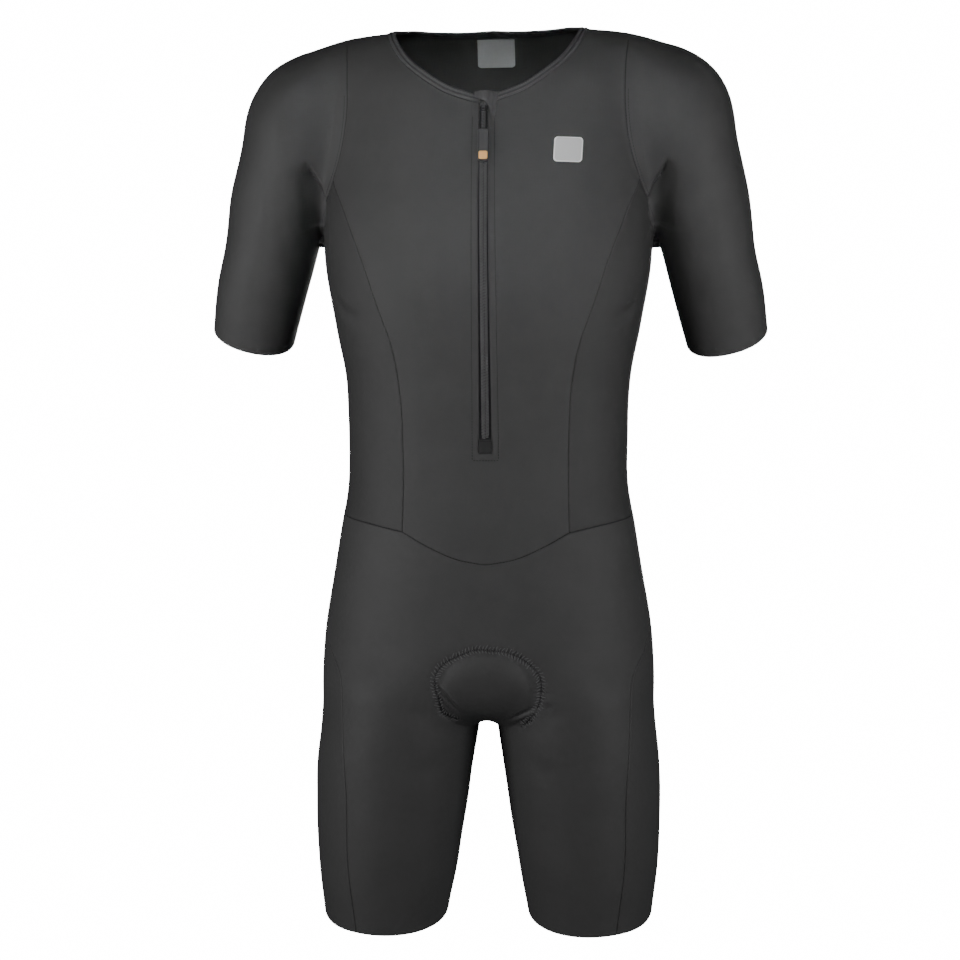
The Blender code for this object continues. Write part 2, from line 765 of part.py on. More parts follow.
def centre_heights(top, bottom):
    """Heights of the front panel's rows at the zip, with a row at the zip's end."""
    above = np.linspace(top, ZIP_END_Z, CENTRE_CELLS_ABOVE_ZIP_END + 1)
    below = np.linspace(ZIP_END_Z, bottom, CENTRE_CELLS - CENTRE_CELLS_ABOVE_ZIP_END + 1)
    return np.concatenate([above, below[1:]])


def make_front_panel(seams):
    """Front: two halves beside the zip, joined by a strip below its end."""
    waist = seams["waist_front"]
    top = joined(seams["low_front"], seams["shoulder"])
    centre = front_line(ZIP_SLOT_HALF, centre_heights(top[0, 2], waist[0, 2]))
    outer = joined(seams["armhole_front"], seams["princess_front"])
    centre[0], centre[-1] = top[0], waist[0]
    columns = NECK_CELLS + SHOULDER_CELLS
    assert columns == WAIST_CELLS
    half = stretched(top, waist, centre, outer)
    middle = front_line(0.0, centre[:, 2])
    middle[-1] = seams["waist_middle"]
    both = np.concatenate([flipped(half)[:, ::-1], middle[:, None], half], axis=1)
    rows, width = both.shape[:2]
    cells = grid_cells(rows, width).reshape(rows - 1, width - 1, 4)
    keep = np.ones((rows - 1, width - 1), dtype=bool)
    keep[:CENTRE_CELLS_ABOVE_ZIP_END, columns:columns + 2] = False
    add_wall("front_panel", both.reshape(-1, 3), cells[keep], "body_knit")


def make_back_panel(seams):
    """Back: one piece from princess seam to princess seam."""
    half_top = joined(seams["low_back"][::-1], seams["shoulder"])
    half_waist = seams["waist_back"][::-1]
    outer = joined(seams["armhole_back"][::-1], seams["princess_back"])
    top = joined(flipped(half_top)[::-1], half_top)
    waist = joined(flipped(half_waist)[::-1], half_waist)
    grid = stretched(top, waist, flipped(outer), outer)
    rows, width = grid.shape[:2]
    add_wall("back_panel", grid.reshape(-1, 3), grid_cells(rows, width), "body_knit")


def make_side_panels(seams):
    """Side panels: under each arm, from the front seam to the back seam."""
    waist = joined(seams["waist_front_side"], seams["waist_outer"], seams["waist_back_side"])
    grid = stretched(seams["underarm"], waist, seams["princess_front"], seams["princess_back"])
    rows, width = grid.shape[:2]
    for side, points in (("left", grid), ("right", flipped(grid))):
        add_wall("side_panel_" + side, points.reshape(-1, 3), grid_cells(rows, width), "body_knit")


def cuff_height(points):
    """Height of the cuff's plane below points."""
    middle = np.array(CUFF_CENTRE)
    across = CUFF_SLOPE_X * (points[:, 0] - middle[0])
    return middle[2] + across + CUFF_SLOPE_Y * (points[:, 1] - middle[1])


def reach_surface(start, directions, longest=0.16, steps=64):
    """Points where rays from inside the figure first leave it."""
    lengths = np.linspace(0.0, longest, steps)
    along = start + directions[:, None] * lengths[None, :, None]
    outside = form(along.reshape(-1, 3)).reshape(len(directions), steps) > 0
    first = np.where(outside.any(axis=1), outside.argmax(axis=1), steps - 1)
    low, high = lengths[np.maximum(first - 1, 0)], lengths[first]
    for _ in range(14):
        middle = (low + high) / 2
        out = form(start + directions * middle[:, None]) > 0
        low, high = np.where(out, low, middle), np.where(out, middle, high)
    return start + directions * high[:, None]


def unit(vector):
    """A vector at length one."""
    return vector / np.linalg.norm(vector)


def sleeve_grid(armhole, cells):
    """Rings of a sleeve, fanned from the armhole round the underarm to the cuff.

    A ring's plane holds one point of the sleeve's top line and one of its under
    line. Its points are where rays from the middle between them leave the arm.
    """
    shares = np.linspace(0, 1, cells + 1) ** SLEEVE_SPACING
    top = sampled(SLEEVE_TOP, shares)
    under = sampled(SLEEVE_UNDER, shares)
    middle = (top[0] + under[0]) / 2
    across, depth = unit(top[0] - under[0]), unit(np.array([0.0, 1.0, 0.0]))
    offset = armhole - middle
    start_angles = np.unwrap(np.arctan2(offset @ depth, offset @ across))
    turning = np.sign(start_angles[-1] - start_angles[0])
    even = start_angles[0] + turning * np.arange(len(armhole)) * 2 * math.pi / len(armhole)
    rings = [armhole]
    for i in range(1, cells + 1):
        share = i / cells
        across = unit(top[i] - under[i])
        depth = unit(np.array([0.0, 1.0, CUFF_SLOPE_Y * shares[i]]))
        angles = (1 - share) * start_angles + share * even
        directions = np.cos(angles)[:, None] * across + np.sin(angles)[:, None] * depth
        directions /= np.linalg.norm(directions, axis=1, keepdims=True)
        rings.append(reach_surface((top[i] + under[i]) / 2, directions))
    last = rings[-1]
    for _ in range(6):
        last[:, 2] = cuff_height(last)
        last = settle(last, 1)
    last[:, 2] = cuff_height(last)
    rings[-1] = last
    return np.stack(rings)


def sampled(rows, shares):
    """Points at shares of the length of a smooth curve through rows."""
    fine = curve_through(rows, 400)
    places = shares * (len(fine) - 1)
    return np.column_stack([np.interp(places, np.arange(len(fine)), fine[:, i]) for i in range(3)])


def make_sleeves(seams):
    """Sleeves: one tube each, from the armhole to the cuff."""
    ring = joined(seams["armhole_front"], seams["underarm"], seams["armhole_back"])[:-1]
    grid = sleeve_grid(ring, SLEEVE_CELLS)
    rows, width = grid.shape[:2]
    for side, points in (("left", grid), ("right", flipped(grid))):
        cells = grid_cells(rows, width, ring=True)
        add_wall("sleeve_" + side, points.reshape(-1, 3), cells, "body_knit")


def make_shorts_half(name, waist, outer, hem, inner):
    """Front or back of the shorts: two halves that share the middle line."""
    half = stretched(waist, hem, inner, outer)
    rows, width = half.shape[:2]
    points = np.concatenate([half.reshape(-1, 3), flipped(half).reshape(-1, 3)])
    mirrored = grid_cells(rows, width, start=rows * width)[:, ::-1]
    cells = np.concatenate([grid_cells(rows, width), mirrored])
    add_wall(name, points, cells, "body_knit")


def make_shorts(seams):
    """Front and back of the shorts, and the panel down each outer side."""
    front_waist = joined(seams["waist_front"], seams["waist_front_side"])
    front_waist = np.concatenate([seams["waist_middle"], front_waist])
    front_inner = joined(seams["rise_front"], seams["inseam"])
    make_shorts_half("shorts_front", front_waist, seams["leg_front"], seams["hem_front"][::-1], front_inner)
    back_waist = joined(seams["waist_back"][::-1], seams["waist_back_side"][::-1])
    back_inner = joined(seams["rise_back"], seams["inseam"])
    make_shorts_half("shorts_back", back_waist, seams["leg_back"], seams["hem_back"][::-1], back_inner)
    grid = stretched(seams["waist_outer"], seams["hem_outer"], seams["leg_front"], seams["leg_back"])
    rows, width = grid.shape[:2]
    for side, points in (("left", grid), ("right", flipped(grid))):
        add_wall("leg_side_" + side, points.reshape(-1, 3), grid_cells(rows, width), "body_knit")


def make_binding(seams):
    """Doubled band round the neck, open at the zip."""
    upper = joined(seams["neck_front"], seams["neck_back"])
    lower = joined(seams["low_front"], seams["low_back"])
    upper = joined(upper, flipped(upper)[::-1])
    lower = joined(lower, flipped(lower)[::-1])
    points = np.stack([upper, settle((upper + lower) / 2), lower])
    thickness = WALL + 2 * BINDING_PROUD
    cells = grid_cells(3, len(upper))
    add_wall("neck_binding", points.reshape(-1, 3), cells, "binding_knit", BINDING_PROUD, thickness)


def strip(half_width, top_z, bottom_z, rows, columns, rise=None):
    """Grid of points on the front of the figure, beside the middle line."""
    heights = np.linspace(top_z, bottom_z, rows + 1)
    across = np.linspace(-half_width, half_width, columns + 1)
    grid = np.stack([front_line(x, heights) for x in across], axis=1)
    if rise is not None:
        lift = rise * (1 - (across / half_width) ** 2)
        normals = outward(grid.reshape(-1, 3)).reshape(grid.shape)
        grid = grid + normals * lift[None, :, None]
    return grid


def make_zip():
    """Tape behind the opening, closed chain in it, end patch and garage."""
    rows = CENTRE_CELLS_ABOVE_ZIP_END
    tape = strip(TAPE_HALF, TAPE_TOP_Z, TAPE_END_Z, rows + 1, 2)
    tape_top = -WALL - TAPE_CLEAR
    cells = grid_cells(rows + 2, 3)
    add_wall("zip_tape", tape.reshape(-1, 3), cells, "zip_tape", tape_top, TAPE_THICKNESS, 0.0)
    chain = strip(CHAIN_HALF, CHAIN_TOP_Z, CHAIN_END_Z, rows, 2)
    depth = CHAIN_PROUD - tape_top - SEAM_GAP
    add_wall("zip_chain", chain.reshape(-1, 3), grid_cells(rows + 1, 3), "zip_coil", CHAIN_PROUD, depth, 0.0)
    patch = strip(END_PATCH_HALF, END_PATCH_TOP_Z, END_PATCH_BOTTOM_Z, 2, 3)
    height = ON_PANEL_CLEAR + END_PATCH_THICKNESS
    cells = grid_cells(3, 4)
    add_wall("zip_end_patch", patch.reshape(-1, 3), cells, "binding_knit", height, END_PATCH_THICKNESS, 0.0)
    make_garage()


def make_garage():
    """Small hood of cloth over the top of the zip, arched above the slider."""
    base = strip(GARAGE_HALF, GARAGE_TOP_Z, GARAGE_BOTTOM_Z, GARAGE_ROWS, GARAGE_COLUMNS)
    flat = base.reshape(-1, 3)
    across = np.linspace(-1, 1, GARAGE_COLUMNS + 1)
    arch = GARAGE_RISE * (1 - across**4) + BINDING_PROUD + ON_PANEL_CLEAR
    lift = np.tile(arch, GARAGE_ROWS + 1)[:, None]
    normals = outward(flat)
    lower = stance(flat + normals * lift)
    upper = stance(flat + normals * (lift + GARAGE_THICKNESS))
    cells = facing_out(grid_cells(GARAGE_ROWS + 1, GARAGE_COLUMNS + 1), upper, normals)
    add_object("zip_garage", np.concatenate([upper, lower]), wall_faces(cells, upper), "binding_knit")


def make_label():
    """Plain woven label inside the back of the neck."""
    heights = np.linspace(LABEL_TOP_Z, LABEL_BOTTOM_Z, 5)
    across = LABEL_CENTRE_X + np.linspace(-LABEL_HALF_WIDTH, LABEL_HALF_WIDTH, 5)
    x, z = np.meshgrid(across, heights)
    guess = np.column_stack([x.ravel(), np.full(x.size, 0.08), z.ravel()])
    points = settle_column(guess)
    top = -WALL - LABEL_CLEAR
    add_wall("neck_label", points, grid_cells(5, 5), "label_satin", top, LABEL_THICKNESS, 0.0)


def make_chest_patch():
    """Plain reflective patch with round corners on the left chest."""
    half = np.array(PATCH_SIZE) / 2
    steps = 5
    corner = []
    for quarter in range(4):
        middle = (half - PATCH_CORNER) * [(1, 1), (-1, 1), (-1, -1), (1, -1)][quarter]
        angles = math.pi / 2 * (quarter + np.linspace(0, 1, steps))
        corner.append(middle + PATCH_CORNER * np.column_stack([np.cos(angles), np.sin(angles)]))
    outline = np.concatenate(corner)
    rings = np.concatenate([outline * share for share in (1.0, 0.6, 0.2)])
    tilt = math.radians(PATCH_TILT_DEG)
    x = PATCH_CENTRE[0] + math.cos(tilt) * rings[:, 0] - math.sin(tilt) * rings[:, 1]
    z = PATCH_CENTRE[1] + math.sin(tilt) * rings[:, 0] + math.cos(tilt) * rings[:, 1]
    points = settle_column(np.column_stack([x, np.full(len(x), -0.09), z]))
    normals = outward(points)
    count = len(outline)
    upper = stance(points + normals * (ON_PANEL_CLEAR + PATCH_THICKNESS))
    lower = stance(points + normals * ON_PANEL_CLEAR)
    cells = grid_cells(3, count, ring=True)
    quad = upper[cells[0]]
    facing = np.dot(np.cross(quad[2] - quad[0], quad[3] - quad[1]), normals[0]) > 0
    centre = list(range(2 * count, 3 * count))
    outer_edge = np.arange(count)
    next_edge = np.roll(outer_edge, -1)
    total = len(points)
    rim = np.stack([outer_edge, next_edge, next_edge + total, outer_edge + total], axis=1)
    top_faces = cells if facing else cells[:, ::-1]
    rim = rim if facing else rim[:, ::-1]
    middle_face = centre if cap_faces_out(upper[centre], normals[0]) else centre[::-1]
    faces = [list(face) for face in top_faces]
    faces += [[index + total for index in face[::-1]] for face in faces]
    faces += [list(face) for face in rim]
    faces += [middle_face, [index + total for index in middle_face[::-1]]]
    add_object("chest_patch", np.concatenate([upper, lower]), faces, "patch_film")


def cap_faces_out(points, normal):
    """Whether a ring of points turns so that its face looks along a normal."""
    middle = points.mean(axis=0)
    turned = np.cross(points - middle, np.roll(points, -1, axis=0) - middle).sum(axis=0)
    return bool(np.dot(turned, normal) > 0)


def make_seat_pad(seams):
    """Pad sewn inside the crotch, round in front and wide at the seat."""
    middle = joined(seams["rise_front"], seams["rise_back"][::-1])
    fine = curve_through(middle, 400)
    run = np.concatenate([[0.0], np.cumsum(np.linalg.norm(np.diff(fine, axis=0), axis=1))])
    start = run[np.argmax(fine[:, 2] < PAD_FRONT_Z)]
    along = np.linspace(0, PAD_OUTLINE[-1, 0], PAD_ROWS + 1)
    centre = np.column_stack([np.interp(start + along, run, fine[:, i]) for i in range(3)])
    half = rows_at(PAD_OUTLINE, along)[0]
    across = np.linspace(-1, 1, PAD_COLUMNS + 1)
    grid = np.repeat(centre[:, None], PAD_COLUMNS + 1, axis=1)
    for column, share in enumerate(across):
        grid[:, column] = walk_sideways(centre, half * share)
    top = -WALL - PAD_CLEAR
    cells = grid_cells(PAD_ROWS + 1, PAD_COLUMNS + 1)
    add_wall("seat_pad", grid.reshape(-1, 3), cells, "pad_foam", top, PAD_THICKNESS, 0.0)


def walk_sideways(centre, distances):
    """Points reached from a middle line by walking sideways on the figure."""
    steps = 12
    points = settle(centre)
    forward = np.gradient(centre, axis=0)
    forward /= np.linalg.norm(forward, axis=1, keepdims=True)
    for _ in range(steps):
        side = np.cross(outward(points), forward)
        side *= np.where(side[:, :1] < 0, -1.0, 1.0)
        side /= np.linalg.norm(side, axis=1, keepdims=True)
        points = settle(points + side * (distances / steps)[:, None], 3)
    return points


def zip_frame():
    """Matrix at the slider: x sideways, y up the zip, z out of the cloth."""
    place = front_line(0.0, np.array([SLIDER_Z]))
    normal = Vector(outward(place)[0])
    normal.x = 0.0
    normal.normalize()
    side = Vector((1.0, 0.0, 0.0))
    up = normal.cross(side)
    matrix = Matrix((side, up, normal)).transposed().to_4x4()
    matrix.translation = Vector(stance(place)[0])
    return matrix


def rounded_plate(width, length, top_corner, bottom_corner, steps=4):
    """Outline of a plate whose top edge is at zero and whose length runs down."""
    outline = []
    corners = (
        (width / 2, 0.0, top_corner, 0),
        (-width / 2, 0.0, top_corner, 1),
        (-width / 2, -length, bottom_corner, 2),
        (width / 2, -length, bottom_corner, 3),
    )
    for x, y, radius, quarter in corners:
        middle_x = x - math.copysign(radius, x)
        middle_y = y - radius if quarter < 2 else y + radius
        for step in range(steps + 1):
            angle = math.pi / 2 * (quarter + step / steps)
            outline.append((middle_x + radius * math.cos(angle), middle_y + radius * math.sin(angle)))
    return outline


def plate_object(name, outline, bottom, top, edge, finish):
    """Plate with a chamfered rim, from an outline and two heights."""
    shape = np.array(outline)
    middle = shape.mean(axis=0)
    size = np.abs(shape - middle).max(axis=0)
    inner = middle + (shape - middle) * (1 - edge / size)
    layers = [(inner, bottom), (shape, bottom + edge), (shape, top - edge), (inner, top)]
    points = [(x, y, height) for ring, height in layers for x, y in ring]
    count = len(outline)
    faces = [list(range(count))[::-1], list(range(3 * count, 4 * count))]
    for layer in range(3):
        for i in range(count):
            j = (i + 1) % count
            low, high = layer * count, (layer + 1) * count
            faces.append([low + i, low + j, high + j, high + i])
    return add_object(name, points, faces, finish)


def make_slider(frame):
    """Slider body with the bridge that the pull's cord runs under."""
    bottom = SLIDER_BASE
    top = bottom + SLIDER_THICKNESS
    outline = rounded_plate(SLIDER_WIDTH, SLIDER_LENGTH, *SLIDER_CORNERS)
    centred = [(x, y + SLIDER_LENGTH / 2) for x, y in outline]
    slider = plate_object("zip_slider", centred, bottom, top, SLIDER_EDGE, "slider_metal")
    slider.matrix_world = frame
    inner = top + CORD_DIAMETER + 2 * CORD_CLEAR
    outer = inner + BRIDGE_BAR
    reach, corner, notch = BRIDGE_HALF_LENGTH, BRIDGE_CORNER, BRIDGE_NOTCH
    root = top - BRIDGE_ROOT
    foot = reach - BRIDGE_BAR
    profile = [(-reach, root), (-reach, outer - corner), (-reach + corner, outer)]
    profile += [(reach - corner, outer), (reach, outer - corner), (reach, root)]
    profile += [(foot, root), (foot, inner - notch), (foot - notch, inner)]
    profile += [(-foot + notch, inner), (-foot, inner - notch), (-foot, root)]
    count = len(profile)
    half = BRIDGE_WIDTH / 2
    points = [(-half, y, z) for y, z in profile] + [(half, y, z) for y, z in profile]
    faces = [[i, (i + 1) % count, count + (i + 1) % count, count + i] for i in range(count)]
    quads = [(0, 1, 10, 11), (1, 2, 9, 10), (2, 3, 8, 9), (3, 4, 7, 8), (4, 5, 6, 7)]
    faces += [list(quad)[::-1] for quad in quads]
    faces += [[count + index for index in quad] for quad in quads]
    bridge = add_object("slider_bridge_cutter", points, faces, "slider_metal")
    bridge.matrix_world = frame
    bridge.hide_render = True
    bridge.display_type = "WIRE"
    union = slider.modifiers.new("bridge", "BOOLEAN")
    union.operation = "UNION"
    union.object = bridge


def pivot_height():
    """Height of the pull's axis above the cloth, at the cord's middle."""
    return SLIDER_BASE + SLIDER_THICKNESS + CORD_CLEAR + CORD_DIAMETER / 2


def make_pull(frame):
    """Cord loop, rubber tab and plain inset, hung on an empty at the hinge."""
    pivot = bpy.data.objects.new("zip_pull_axis", None)
    pivot.empty_display_size = 0.01
    bpy.context.scene.collection.objects.link(pivot)
    pivot.matrix_world = frame @ Matrix.Translation((0.0, 0.0, pivot_height()))
    cord = make_cord()
    half = TAB_THICKNESS / 2
    tab_outline = rounded_plate(TAB_WIDTH, TAB_LENGTH, TAB_CORNER_TOP, TAB_CORNER_BOTTOM)
    tab_top = -CORD_LENGTH - CORD_CLEAR
    shifted = [(x, y + tab_top) for x, y in tab_outline]
    tab = plate_object("zip_pull_tab", shifted, -half, half, TAB_EDGE, "pull_rubber")
    width, length = INSET_SIZE
    inset_outline = rounded_plate(width, length, INSET_CORNER, INSET_CORNER)
    inset_top = tab_top - TAB_LENGTH + INSET_FROM_END + length
    placed = [(x, y + inset_top) for x, y in inset_outline]
    low = half + ON_PANEL_CLEAR
    inset = plate_object("zip_pull_inset", placed, low, low + INSET_THICKNESS, INSET_EDGE, "pull_inset")
    for piece in (cord, tab, inset):
        piece.parent = pivot


def make_cord():
    """Cord of the pull: up one side, under the bridge and down the other."""
    reach, bend = CORD_HALF_SPREAD, CORD_BEND
    points = [(-reach, -CORD_LENGTH), (-reach, -CORD_LENGTH * 0.6), (-reach, -bend)]
    for step in range(1, 5):
        angle = math.pi - math.pi / 2 * step / 4
        points.append((-reach + bend + bend * math.cos(angle), -bend + bend * math.sin(angle)))
    route = points + [(-x, y) for x, y in points[::-1]]
    curve = bpy.data.curves.new("zip_pull_cord", "CURVE")
    curve.dimensions = "3D"
    spline = curve.splines.new("POLY")
    spline.points.add(len(route) - 1)
    for point, (x, y) in zip(spline.points, route):
        point.co = (x, y, 0.0, 1.0)
    curve.bevel_depth = CORD_DIAMETER / 2
    curve.bevel_resolution = 2
    curve.use_fill_caps = True
    curve.materials.append(material("pull_cord"))
    cord = bpy.data.objects.new("zip_pull_cord", curve)
    bpy.context.scene.collection.objects.link(cord)
    return cord


def main():
    clear_scene()
    seams = make_seams()
    make_front_panel(seams)
    make_back_panel(seams)
    make_side_panels(seams)
    make_sleeves(seams)
    make_shorts(seams)
    make_binding(seams)
    make_zip()
    make_label()
    make_chest_patch()
    make_seat_pad(seams)
    frame = zip_frame()
    make_slider(frame)
    make_pull(frame)


main()
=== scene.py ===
# %% [markdown]
# # A time trial skinsuit, sewn from thin knit panels
# The real suit is a stretch knit cut into about ten panels, joined with flat seams, closed by a
# half zip and bound at the neck. It is shown as if worn by nobody. This lesson dresses the plain
# solids of the part: each panel is made again as a fine, closed, thin shell, with its seam
# grooves, folds and threads, and each finish is made from nodes.
#
# ## Load the fixed frame
# The imported solids come in first. Nothing below moves them.

import math

import bpy
import numpy as np
from mathutils import Matrix, Vector


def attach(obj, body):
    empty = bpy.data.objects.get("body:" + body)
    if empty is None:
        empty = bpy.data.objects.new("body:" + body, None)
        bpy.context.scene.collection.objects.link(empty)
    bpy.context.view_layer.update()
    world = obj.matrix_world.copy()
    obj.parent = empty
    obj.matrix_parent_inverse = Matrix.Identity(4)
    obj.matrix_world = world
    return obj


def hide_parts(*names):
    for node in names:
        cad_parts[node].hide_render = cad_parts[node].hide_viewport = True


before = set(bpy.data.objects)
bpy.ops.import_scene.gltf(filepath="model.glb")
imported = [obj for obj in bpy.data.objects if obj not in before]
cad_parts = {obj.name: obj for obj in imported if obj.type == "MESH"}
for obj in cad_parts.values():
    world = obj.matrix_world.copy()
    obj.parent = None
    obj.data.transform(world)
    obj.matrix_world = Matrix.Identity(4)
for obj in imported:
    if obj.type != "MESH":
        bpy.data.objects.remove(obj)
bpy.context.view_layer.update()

# %% [markdown]
# ## The camera and the light
# The photo was taken from 3.2 m away, a little above the shoulders, and turned 2 degrees to the
# wearer's left. A long lens keeps the shoulders and hems true to each other. Two soft boxes stand
# at the sides, a little in front of the suit, the one on the picture's left somewhat stronger,
# so the light falls off towards the middle of each form. A narrow weak one reaches the shoulders
# from above, and one behind is there for views of the back. The floor and the far sky look pale
# to the camera, but send little light back, because the photo's inner thighs are almost black.

# %% Camera, lights and floor
PICTURE_PIXELS = 960
PIXELS_PER_METRE = 1000
SENSOR_MM = 36.0
EYE_DISTANCE, EYE_TURN_DEG, EYE_Z, LOOK_Z = 3.2, 2.0, -0.05, -0.435
SIDEWAYS = -0.0085
FLOOR_Z = -1.42
SKY_SEEN, SKY_LIGHT = 16.0, 0.05
FLOOR_CORNERS, FLOOR_RADIUS, FLOOR_GREY = 64, 12, 0.12
MIDDLE = (0.0, 0.0, -0.42)
# Lamps. Columns: name, place, point it faces, side m, power W, spread in degrees
LAMPS = (
    ("key_light", (-1.12, -0.82, -0.42), MIDDLE, 0.6, 11.6, 180),
    ("fill_light", (1.12, -0.82, -0.42), MIDDLE, 0.6, 9.6, 180),
    ("back_light", (0.3, 2.4, -0.30), MIDDLE, 0.9, 13, 180),
    ("top_light", (0.0, -2.0, 0.6), (0.0, 0.05, -0.02), 0.5, 0.6, 24),
)


def make_camera():
    """Camera at the photo's angle, looking at the middle of the suit."""
    turn = math.radians(EYE_TURN_DEG)
    eye = Vector((math.sin(turn) * EYE_DISTANCE, -math.cos(turn) * EYE_DISTANCE, EYE_Z))
    look = Vector((0.0, 0.0, LOOK_Z))
    away = look - eye
    right = away.cross(Vector((0, 0, 1))).normalized()
    data = bpy.data.cameras.new("camera")
    data.sensor_width = SENSOR_MM
    data.lens = SENSOR_MM * away.length * PIXELS_PER_METRE / PICTURE_PIXELS
    data.clip_end = 50.0
    camera = bpy.data.objects.new("camera", data)
    bpy.context.scene.collection.objects.link(camera)
    camera.location = eye + right * SIDEWAYS
    camera.rotation_euler = away.to_track_quat("-Z", "Y").to_euler()
    bpy.context.scene.camera = camera
    return away.length


def soft_box(name, place, aim, size, power, spread_deg):
    """A square soft light that faces a point, with the angle over which it spreads."""
    data = bpy.data.lights.new(name, "AREA")
    data.spread = math.radians(spread_deg)
    data.shape, data.size, data.energy = "SQUARE", size, power
    lamp = bpy.data.objects.new(name, data)
    bpy.context.scene.collection.objects.link(lamp)
    lamp.location = place
    lamp.rotation_euler = (Vector(aim) - Vector(place)).to_track_quat("-Z", "Y").to_euler()


def node(tree, kind, settings=None, **inputs):
    """Add a shader node: settings are its own fields, inputs are socket values or links."""
    made = tree.nodes.new(kind)
    for key, value in (settings or {}).items():
        setattr(made, key, value)
    for key, value in inputs.items():
        plain = key.replace("_", " ")
        socket = made.inputs[int(key[1:])] if key[1:].isdigit() else made.inputs[plain]
        if isinstance(value, bpy.types.NodeSocket):
            tree.links.new(value, socket)
        else:
            socket.default_value = value
    return made


def make_stage():
    """Pale sky and pale floor, bright to the camera and dim to the suit."""
    world = bpy.data.worlds.new("pale_sky")
    bpy.context.scene.world = world
    world.use_nodes = True
    tree = world.node_tree
    tree.nodes.clear()
    seen = node(tree, "ShaderNodeLightPath").outputs["Is Camera Ray"]
    strength = node(tree, "ShaderNodeMapRange", i0=seen, i3=SKY_LIGHT, i4=SKY_SEEN).outputs[0]
    sky = node(tree, "ShaderNodeBackground", Strength=strength, Color=(1, 1, 1, 1))
    node(tree, "ShaderNodeOutputWorld", Surface=sky.outputs[0])
    around = np.linspace(0, 2 * math.pi, FLOOR_CORNERS, endpoint=False)
    x, y = FLOOR_RADIUS * np.cos(around), FLOOR_RADIUS * np.sin(around)
    ring = np.column_stack([x, y, np.full(FLOOR_CORNERS, FLOOR_Z)])
    mesh = bpy.data.meshes.new("floor")
    mesh.from_pydata(ring.tolist(), [], [list(range(FLOOR_CORNERS))])
    floor = bpy.data.objects.new("floor", mesh)
    bpy.context.scene.collection.objects.link(floor)
    paint = bpy.data.materials.new("pale_floor")
    paint.use_nodes = True
    tree = paint.node_tree
    tree.nodes.clear()
    seen = node(tree, "ShaderNodeLightPath").outputs["Is Camera Ray"]
    bright = node(tree, "ShaderNodeEmission", Color=(1, 1, 1, 1), Strength=SKY_SEEN).outputs[0]
    grey = (FLOOR_GREY, FLOOR_GREY, FLOOR_GREY, 1)
    matt = node(tree, "ShaderNodeBsdfDiffuse", Color=grey).outputs[0]
    both = node(tree, "ShaderNodeMixShader", i0=seen, i1=matt, i2=bright).outputs[0]
    node(tree, "ShaderNodeOutputMaterial", Surface=both)
    mesh.materials.append(paint)


make_stage()
distance = make_camera()
for lamp in LAMPS:
    soft_box(*lamp)
print("camera", round(distance, 3), "m from the suit")

# %% [markdown]
# ## The worn figure
# A skinsuit has no shape of its own: it takes the shape of who wears it. So the panels lie on a
# plain hollow figure, given by the sections of a trunk, two arms and two legs. Each section is a
# rounded oval, and the parts melt together where they meet. The result is one function, the
# signed distance from the figure's surface: negative inside, zero on the cloth. Any point can
# then be pressed onto the cloth by walking along the steepest way to zero.

# %% Sections of the figure
# Tables of places are in tenths of a millimetre and are divided by this, which gives metres
TENTHS = 10000

# Trunk sections: height, half width, depth in front, depth behind
TRUNK = np.array([
    (500, 1580, 500, 720), (0, 1590, 620, 840), (-500, 1600, 800, 990), (-1000, 1610, 960, 1090),
    (-1600, 1630, 1100, 1130), (-2200, 1610, 1130, 1080), (-2800, 1510, 1070, 990),
    (-3350, 1410, 990, 890), (-3850, 1390, 940, 830), (-4350, 1393, 930, 850),
    (-4800, 1465, 950, 950), (-5350, 1560, 980, 1100), (-5950, 1650, 1000, 1200),
    (-6550, 1640, 980, 1220), (-7200, 1600, 920, 1120), (-8000, 1600, 880, 1040),
]) / TENTHS

# Leg sections: height, inner side, outer side, depth in front, depth behind
LEG = np.array([
    (-5600, 100, 1600, 920, 1050), (-6200, 60, 1650, 960, 1120), (-6800, 90, 1685, 940, 1080),
    (-7150, 145, 1725, 910, 1020), (-7550, 200, 1737, 870, 960), (-7950, 265, 1730, 830, 890),
    (-8350, 330, 1705, 780, 810), (-8700, 400, 1662, 730, 740), (-9300, 480, 1600, 680, 680),
]) / TENTHS

# Arm sections: height, inner side, outer side, depth in front, depth behind
ARM = np.array([
    (200, 1300, 2400, 520, 660), (-500, 1340, 2405, 520, 700), (-900, 1390, 2440, 520, 700),
    (-1500, 1530, 2575, 420, 700), (-2050, 1705, 2645, 310, 690), (-2350, 1785, 2715, 240, 690),
    (-2965, 1960, 2797, 80, 780), (-3600, 2130, 2910, -80, 880),
]) / TENTHS
# Shoulder roof: height at the middle, fall for each metre sideways, fall with depth
SHOULDER_TOP = 0.025
SHOULDER_FALL = 0.155
ARM_TOP = -0.0075
ARM_FALL = 0.28
ROOF_CURVE = 1.2
ROOF_RIDGE_Y = 0.012
ARM_ROOF_RIDGE = (0.18, 0.010)
CROTCH_Z = -0.6685
LEG_TOP_Z = -0.600
# How square the sections are, and how far the parts of the figure melt together
TRUNK_POWER = 2.35
LIMB_POWER = 2.15
ARM_SIZE = 0.97
ROOF_BLEND = 0.050
CROTCH_BLEND = 0.075
ARM_ROOF_BLEND = 0.060
LEG_TOP_BLEND = 0.050
UNDERARM_BLEND, SHOULDER_BLEND = 0.010, 0.033
ARMPIT_Z, ARMPIT_RISE = -0.192, 0.085
GROIN_BLEND = 0.018

# Bulge of the seat pad at the front: half width, half height, middle height, rise
PAD_BULGE = (0.045, 0.044, -0.636, 0.0055)
PAD_BULGE_FADE = (0.02, 0.04)

# Pressing points onto the figure: least squared slope used, longest single step
LEAST_SLOPE = 0.2
LONGEST_STEP = 0.02


